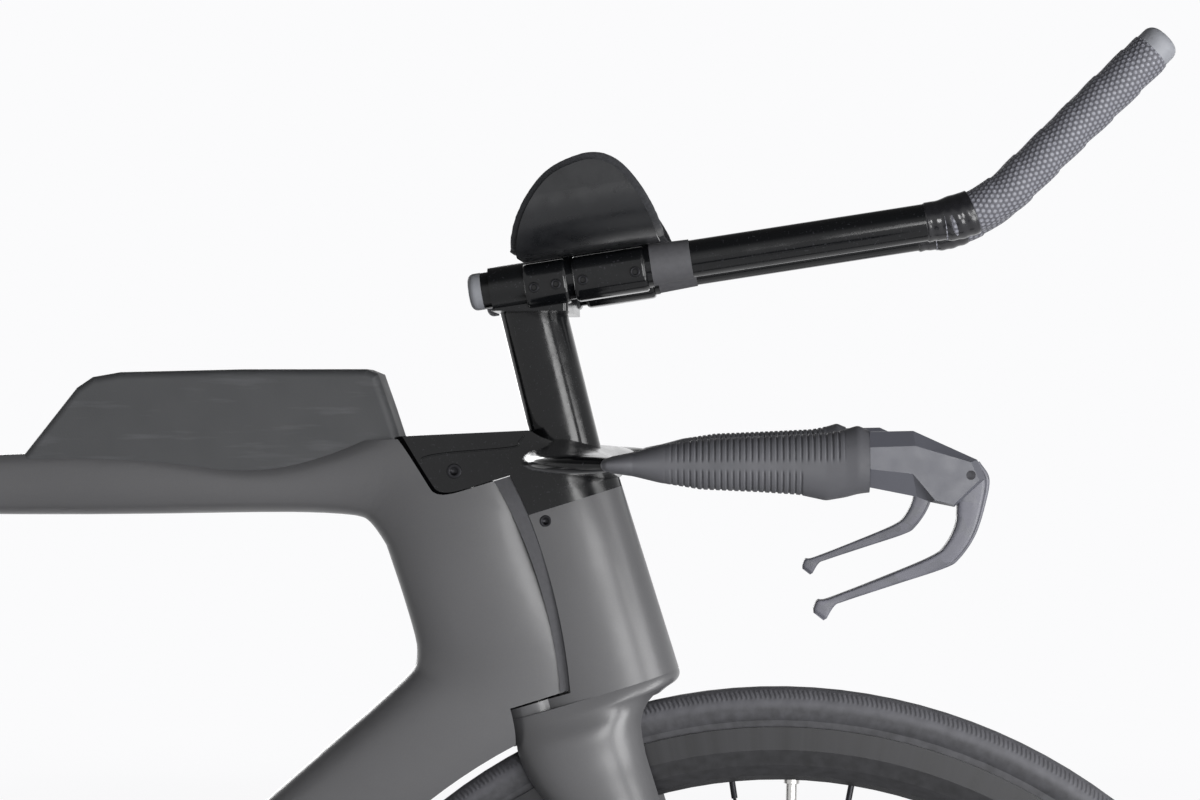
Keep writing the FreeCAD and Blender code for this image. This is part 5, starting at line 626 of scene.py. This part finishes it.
def extension_line(start, end, count):
    """The extension's middle line by length from the start of its bend: straight before 0, an arc of radius
    78 mm turning from 8.6 to 44.4 degrees, straight after. Gives points, the line's angle and the length."""
    s = np.linspace(start, end, count)
    angle = TILT + np.clip(s / BEND, 0.0, RISE - TILT)
    on_arc = np.clip(s, 0.0, ARC)
    x = BEND_START[0] + BEND * (np.sin(TILT + on_arc / BEND) - math.sin(TILT))
    z = BEND_START[2] + BEND * (math.cos(TILT) - np.cos(TILT + on_arc / BEND))
    before, after = np.minimum(s, 0.0), np.maximum(s - ARC, 0.0)
    x += before * math.cos(TILT) + after * math.cos(RISE)
    z += before * math.sin(TILT) + after * math.sin(RISE)
    return np.stack([x, np.full(count, CORNER[1]), z], -1), angle, s


def square_up(angle):
    """The upward direction square to a line at this angle in the upright plane."""
    return np.stack([-np.sin(angle), np.zeros_like(angle), np.cos(angle)], -1)


def tube_grid(line, angle, radius):
    """Loops of the given radius (rows x columns) square to a line that bends in the upright plane."""
    c, s = loop(radius.shape[1])
    spokes_out = c[None, :, None] * ACROSS + s[None, :, None] * square_up(angle)[:, None, :]
    return line[:, None, :] + radius[:, :, None] * spokes_out


def tape_grid():
    """Radius 12.4 mm plus a saw tooth that climbs 0.7 mm over each 22 mm turn of the helix, softened."""
    line, angle, s = extension_line(0.0, ARC + 0.110, 260)
    a = np.arange(80) / 80
    turn = (s[:, None] / TAPE_TURN + a[None]) % 1.0
    step = smooth_step(turn, 0.0, 0.75) * (1 - smooth_step(turn, 0.94, 1.0))
    ends = smooth_step(s, 0.0, 0.004) * smooth_step(s[-1] - s, 0.0, 0.004)
    sway = 0.00015 * np.sin(s[:, None] / (TAPE_TURN / 2) + 2 * np.pi * a[None] * 2)
    return tube_grid(line, angle, 0.0124 + (0.0007 * step + sway) * ends[:, None])


right_tape = tape_grid()
piece("wound_tapes", skin("wound_tapes", [right_tape, mirrored(right_tape)]), tape_rubber,
      "steering", "tape_rubber", "bar_tapes")

# %% [markdown]
# ## Finishing bands
# Where the tape starts, two turns of thin shiny tape hold its edge. They are wrinkled where the tube bends,
# and the wrinkles catch short bright lines.

# %% Finishing bands
band_film, tree, place = material("black_pvc_tape_stretched_gloss")
drawn = add(tree, "Mapping", {"Vector": place, "Scale": (1000 / 5, 1000 / 15, 1000 / 5)})["Vector"]
crease = add(tree, "TexNoise", {"Vector": drawn, "Scale": 1.0, "Detail": 3.0})["Fac"]
finish_material(tree, place, ("#17171a", "#26262a"), (6.0, 3.0), dull=(0.12, 0.26), rub=(8.0, 3.0),
                height=crease, depth_mm=0.35, strength=0.7, more={"Specular IOR Level": 0.5})


def band_grid():
    """Radius 11.8 to 13.4 mm, with ripples 6.2 mm apart that fade round the tube and edges rolled in to it."""
    line, angle, s = extension_line(-0.011, 0.019, 90)
    a = 2 * np.pi * np.arange(72) / 72
    fade = (0.5 + 0.5 * np.cos(a - 4.2))[None]
    ripple = np.sin(2 * np.pi * s[:, None] / 0.0062 + 1.4 * np.sin(a)[None]) * fade
    rise = smooth_step(s, -0.004, 0.006)[:, None]
    edge = smooth_step(s - s[0], 0.0, 0.0012) * smooth_step(s[-1] - s, 0.0, 0.0012)
    return tube_grid(line, angle, 0.0112 + edge[:, None] * (0.0006 + 0.0016 * rise + 0.00022 * ripple))


right_band = band_grid()
piece("finishing_bands", skin("finishing_bands", [right_band, mirrored(right_band)]), band_film,
      "steering", "tape_rubber")

# %% [markdown]
# ## Foam arm pads
# Foam pads lie in the arm cups, soft and rounded at the edges. A pad swells against what holds it, so it
# starts from the solid's own shape, and a short cloth simulation with a little pressure inside puffs its
# free face while the face against the cup is pinned. The result is kept as a plain mesh.

# %% Cloth tools
def fine_copy(name, source, voxel):
    """A copy of a solid's mesh, its loose triangles merged, remeshed into even squares of voxel metres."""
    made = bpy.data.objects.new(name, nodes[source].data.copy())
    bpy.context.scene.collection.objects.link(made)
    weld = made.modifiers.new("weld", "WELD")
    weld.merge_threshold = 0.00002
    remesh = made.modifiers.new("remesh", "REMESH")
    remesh.mode = "VOXEL"
    remesh.voxel_size = voxel
    graph = bpy.context.evaluated_depsgraph_get()
    mesh = bpy.data.meshes.new_from_object(made.evaluated_get(graph))
    made.modifiers.clear()
    made.data = mesh
    return made


def points_of(mesh):
    """All of a mesh's points as an array."""
    found = np.empty(len(mesh.vertices) * 3, np.float32)
    mesh.vertices.foreach_get("co", found)
    return found.reshape(-1, 3).astype(float)


def puff(made, held, pressure, cap, frames=20):
    """Runs Cloth with air pressure and no gravity, with the held points pinned, then moves each point no
    further than cap."""
    rest = points_of(made.data)
    group = made.vertex_groups.new(name="held")
    group.add(np.flatnonzero(held).tolist(), 1.0, "REPLACE")
    cloth = made.modifiers.new("cloth", "CLOTH")
    cloth.settings.vertex_group_mass = "held"
    cloth.settings.use_pressure = True
    cloth.settings.uniform_pressure_force = pressure
    cloth.settings.effector_weights.gravity = 0.0
    cloth.settings.tension_stiffness = 40.0
    cloth.settings.bending_stiffness = 8.0
    cloth.point_cache.frame_end = frames
    scene = bpy.context.scene
    for number in range(1, frames + 1):
        scene.frame_set(number)
    graph = bpy.context.evaluated_depsgraph_get()
    moved = points_of(made.evaluated_get(graph).data) - rest
    made.modifiers.clear()
    made.vertex_groups.clear()
    scene.frame_set(1)
    far = np.linalg.norm(moved, axis=1, keepdims=True)
    moved *= np.minimum(1.0, cap / np.maximum(far, 1e-9))
    made.data.vertices.foreach_set("co", (rest + moved).astype(np.float32).ravel())
    made.data.update()
    print("puffed", made.name, "by up to", round(1000 * float(np.linalg.norm(moved, axis=1).max()), 2), "mm")


def upholster(made, material, body, slot, fill, *stands_for):
    """Smooth shading, one subdivision, a material and a place on the bike for a padded piece."""
    made.data.polygons.foreach_set("use_smooth", np.ones(len(made.data.polygons), bool))
    made.data.materials.clear()
    made.data.materials.append(material)
    fine = made.modifiers.new("fine", "SUBSURF")
    fine.levels = fine.render_levels = 1
    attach(made, body)
    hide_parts(*stands_for)
    print("made", made.name, len(made.data.polygons), "faces")


# %% Arm pads
foam, tree, place = material("eva_foam_pressed_matt")
pore = add(tree, "TexNoise", {"Vector": place, "Scale": 1000 / 1.5, "Detail": 3.0})["Fac"]
tone = add(tree, "MapRange", {"Value": pore, "From Min": NOISE_LOW, "From Max": NOISE_HIGH})["Result"]
finish_material(tree, place, ("#26272a", "#36373b"), tone, dull=0.86,
                height=pore, depth_mm=0.25, strength=0.7, more={"Sheen Weight": 0.15})

pads = fine_copy("foam_arm_pads", "arm_pads", 0.0017)
spot = points_of(pads.data)
normals = np.empty(len(spot) * 3, np.float32)
pads.data.vertices.foreach_get("normal", normals)
normals = normals.reshape(-1, 3)
inward = np.sign(spot[:, 1]) * normals[:, 1] * -0.4 + normals[:, 2]
puff(pads, inward < 0.25, 4.0, 0.0022)
upholster(pads, foam, "steering", "foam", 0.8, "arm_pads")

# %% [markdown]
# ## Saddle cover
# The saddle is a split-nose shape: a thin, firm pad under stretched microfibre. The same short simulation
# puffs the top, while the underside and the edge, which are glued to the shell, are held.

# %% Saddle cover
microfibre, tree, place = material("microfibre_stretched_and_glued")
nap = add(tree, "TexNoise", {"Vector": place, "Scale": 1000 / 1.2, "Detail": 4.0})["Fac"]
tone = add(tree, "MapRange", {"Value": nap, "From Min": NOISE_LOW, "From Max": NOISE_HIGH})["Result"]
finish_material(tree, place, ("#1c1c1f", "#2a2a2e"), tone, dull=(0.5, 0.66), rub=(25.0, 3.0),
                height=nap, depth_mm=0.12, strength=0.6, more={"Sheen Weight": 0.2})

cover = fine_copy("saddle_pad", "saddle_cover", 0.004)
spot = points_of(cover.data)
low, high = spot[:, 2].min(), spot[:, 2].max()
puff(cover, spot[:, 2] < low + 0.45 * (high - low), 4.0, 0.003)
upholster(cover, microfibre, "frame", "saddle_cover", 0.75, "saddle_cover")

# %% [markdown]
# ## Brake lever blades
# A blade is pressed from chopped fibre with rounded edges, thick at the pivot and ending in a small hook. It
# could be an extruded outline with a bevel, but its two edges are not parallel. So one smooth curve is drawn
# along each edge, and flat-sided loops join the two curves. A shallow groove follows the front edge down to
# the elbow.

# %% Blade skin
def curve_through(points, count):
    """A smooth curve through the points: a cubic on each span, whose slope at a point is half the step from
    the point before it to the one after. Count points are spread evenly along it."""
    p = np.array(points, float)
    padded = np.vstack([2 * p[0] - p[1], p, 2 * p[-1] - p[-2]])
    t = np.linspace(0, len(p) - 1, 40 * len(p))
    i = np.minimum(t.astype(int), len(p) - 2)
    f = (t - i)[:, None]
    a, b, c, d = (padded[i + k] for k in range(4))
    fine = b + 0.5 * ((c - a) * f + (2 * a - 5 * b + 4 * c - d) * f ** 2 + (3 * b - a - 3 * c + d) * f ** 3)
    length = np.concatenate([[0.0], np.cumsum(np.linalg.norm(np.diff(fine, axis=0), axis=1))])
    at = np.linspace(0, length[-1], count)
    return np.stack([np.interp(at, length, fine[:, k]) for k in range(p.shape[1])], -1)


PIVOT_X, PIVOT_Z = 0.612, 0.806
OUTER_EDGE = [(5.5, 7), (10.6, -2), (8.4, -16), (3.2, -32), (-5, -44.3), (-13, -49.7), (-40, -58.8),
              (-66, -67.5), (-71.5, -70.1), (-76.6, -78.4)]  # millimetres ahead of the pivot and above it
INNER_EDGE = [(-6, 2), (-6.6, -16), (-7.6, -26.8), (-13, -37.5), (-20.8, -43.8), (-47.5, -55.2), (-75, -66),
              (-80.8, -67), (-83.5, -73)]


def blade_grid(side):
    """Row by row, the middle and half gap of the two edge curves. Each loop is a superellipse of power 6,
    flat on its sides, with a half width of about 5 mm, and the hook's end is bevelled."""
    rows, columns = 150, 72
    outer, inner = (curve_through(edge, rows) / 1000 for edge in (OUTER_EDGE, INNER_EDGE))
    s = np.linspace(0, 1, rows)
    middle, gap = (outer + inner) / 2, (outer - inner) / 2
    bevel = 1 - 0.22 * smooth_step(s, 0.985, 1.0)
    half = (0.0052 - 0.0009 * smooth_step(s, 0.3, 0.6) + 0.0008 * smooth_step(s, 0.85, 0.97)) * bevel
    c, q = loop(columns, 6.0)
    front_line = np.exp(-((c - 0.66) / 0.1) ** 2) * (np.abs(q) > 0.3)
    groove = 0.0005 * np.outer(smooth_step(1 - s, 0.5, 0.62), front_line)
    flat = middle[:, None] + gap[:, None] * (c[None, :, None] * bevel[:, None, None])
    y = side + (half[:, None] - groove) * q[None]
    return np.stack([PIVOT_X + flat[..., 0], y, PIVOT_Z + flat[..., 1]], -1)


piece("right_blade", skin("right_blade", [blade_grid(-GRIP_SIDE)]), lever_composite, "right_lever",
      "lever_composite", "right_brake_lever")
piece("left_blade", skin("left_blade", [blade_grid(GRIP_SIDE)]), lever_composite, "left_lever",
      "lever_composite", "left_brake_lever")

# %% [markdown]
# ## Turned pieces: valves and bolt heads
# Anything made on a lathe is a profile turned about a line: a list of heights and radii, and a circle at
# each. The valve's thread is a ripple in its radius, drawn coarser than the real 0.8 mm so that it shows.

# %% Lathe
VALVE_START = 0.27945  # distance from the axle where the valve leaves the rim
THREAD_PITCH = 0.0012


def lathe(origin, axis, heights, radii, columns):
    """Circles of the given radii at the given heights along the axis from the origin, all in metres."""
    axis = np.array(axis, float) / np.linalg.norm(axis)
    helper = ACROSS if abs(axis[1]) < 0.9 else np.array([1.0, 0.0, 0.0])
    first = np.cross(axis, helper) / np.linalg.norm(np.cross(axis, helper))
    second = np.cross(axis, first)
    c, s = loop(columns)
    circle = c[:, None] * first + s[:, None] * second
    heights, radii = np.array(heights)[:, None, None], np.array(radii)[:, None, None]
    return np.array(origin) + heights * axis + radii * circle[None]


polished, tree, place = material("aluminium_turned_and_polished")
finish_material(tree, place, ("#b9b8b6", "#cfcecb"), (3.0, 3.0), dull=(0.2, 0.34), rub=(1.5, 3.0),
                more={"Metallic": 1.0})


def valve_grid(axle, degrees):
    """A plated sleeve round the valve, from the rim inwards: a nut of 4.75 mm radius, a barrel of 3.3 mm, and
    a threaded neck of 3.1 mm down to its end."""
    out = np.array([math.cos(math.radians(degrees)), 0.0, math.sin(math.radians(degrees))])
    h = np.linspace(-0.0004, 0.0422, 190)
    r = np.where(h < 0.0026, 0.00475, np.where(h < 0.014, 0.0033, 0.0031))
    r = r + 0.00013 * np.sin(2 * np.pi * h / THREAD_PITCH) * (h > 0.014) * (h < 0.038)
    return lathe(axle + out * VALVE_START, -out, h, r, 28)


piece("front_valve", skin("front_valve", [valve_grid(FRONT_AXLE, 88.6)]), polished, "front_wheel", "silver")
piece("rear_valve", skin("rear_valve", [valve_grid(REAR_AXLE, 90.0)]), polished, "rear_wheel", "silver")


def cap_grid(spot, radius, tall):
    """A bolt head on the right side, from the surface outwards: a rounded rim and a socket half as wide."""
    heights = np.array([-0.4, 0.7, 0.95, 1.0, 1.0, 0.9, 0.3, 0.3]) * tall
    radii = np.array([1.0, 1.0, 0.95, 0.86, 0.62, 0.52, 0.48, 0.02]) * radius
    return lathe(spot, -ACROSS, heights, radii, 36)


STEM_BOLT, FORK_BOLT = (0.31508, -0.0236, 0.8037), (0.37096, -0.0236, 0.7735)
heads = [cap_grid(STEM_BOLT, 0.0046, 0.0012), cap_grid(FORK_BOLT, 0.0038, 0.0012)]
piece("cockpit_bolt_heads", skin("cockpit_bolt_heads", heads), black_steel, "steering", "black_steel")

# %% [markdown]
# ## Extension clamps
# Each extension is held in two split clamps under its arm cup. A clamp is a flattened ring with chamfered
# ends, flat above where the cup sits on it, and two bolts close it from the outside.

# %% Clamps and their bolts
CLAMP_HALF, CLAMP_BELOW, CLAMP_ABOVE = 0.0150, 0.0152, 0.0117
CLAMP_BOLT = np.array([0.0, -0.0142, -0.0035])  # a bolt's head, as seen from the extension's middle line


def along_extension(ahead_mm):
    """Length along the extension from the start of its bend to a point so far ahead of the front axle."""
    return (FRONT_AXLE[0] + ahead_mm / 1000 - BEND_START[0]) / math.cos(TILT)


def clamp_grid(first_mm, last_mm):
    """A superellipse of power 3.4 round the extension, 15 mm to each side and flatter above than below."""
    line, angle, s = extension_line(along_extension(first_mm), along_extension(last_mm), 40)
    c, q = loop(72, 3.4)
    draw = 1 - 0.07 * (1 - np.sqrt(np.clip(np.minimum(s - s[0], s[-1] - s) / 0.0014, 0, 1)))
    tall = np.where(q > 0, CLAMP_ABOVE, CLAMP_BELOW) * q
    ring = (CLAMP_HALF * c)[None, :, None] * ACROSS + tall[None, :, None] * square_up(angle)[:, None]
    return line[:, None] + draw[:, None, None] * ring


right_clamps = [clamp_grid(-152, -127), clamp_grid(-123, -80)]
bolts = []
for ahead_mm in (-146, -133, -117, -86):
    at = extension_line(along_extension(ahead_mm), along_extension(ahead_mm), 1)[0][0]
    bolts.append(cap_grid(at + CLAMP_BOLT, 0.0031, 0.0022))
piece("extension_clamps", skin("extension_clamps", right_clamps + [mirrored(g) for g in right_clamps]),
      gloss_black, "steering", "gloss_black")
piece("clamp_bolts", skin("clamp_bolts", bolts + [mirrored(g) for g in bolts]), black_steel,
      "steering", "black_steel")

# %% [markdown]
# ## Stem cover line
# The stem's top is closed by a cover, and its edge shows as one fine raised line that runs along the side and
# up to the riser. A thin rounded bead along a curve is enough, half sunk into the lacquered side.

# %% Stem cover bead
COVER_LINE = [(-218.4, 808.4), (-216.4, 812.0), (-201.9, 814.7), (-163.0, 818.2), (-158.3, 821.6),
              (-154.4, 826.4)]  # millimetres ahead of the front axle and above the floor


def bead_grid(points_mm, side, radius):
    """Circles along a smooth curve in an upright plane, drawn in to a point at both ends."""
    rows, columns = 140, 12
    path = curve_through(points_mm, rows) / 1000
    slope = np.gradient(path, axis=0)
    slope /= np.linalg.norm(slope, axis=1, keepdims=True)
    s = np.linspace(0, 1, rows)
    r = radius * np.sqrt(np.clip(np.minimum(s, 1 - s) / 0.03, 0.02, 1))[:, None]
    c, q = loop(columns)
    x = FRONT_AXLE[0] + path[:, :1] - r * c[None] * slope[:, 1:]
    z = path[:, 1:] + r * c[None] * slope[:, :1]
    return np.stack([x, side + r * q[None], z], -1)


right_bead = bead_grid(COVER_LINE, -0.0243, 0.0006)
piece("stem_cover_line", skin("stem_cover_line", [right_bead, mirrored(right_bead)]), gloss_black,
      "steering", "gloss_black")
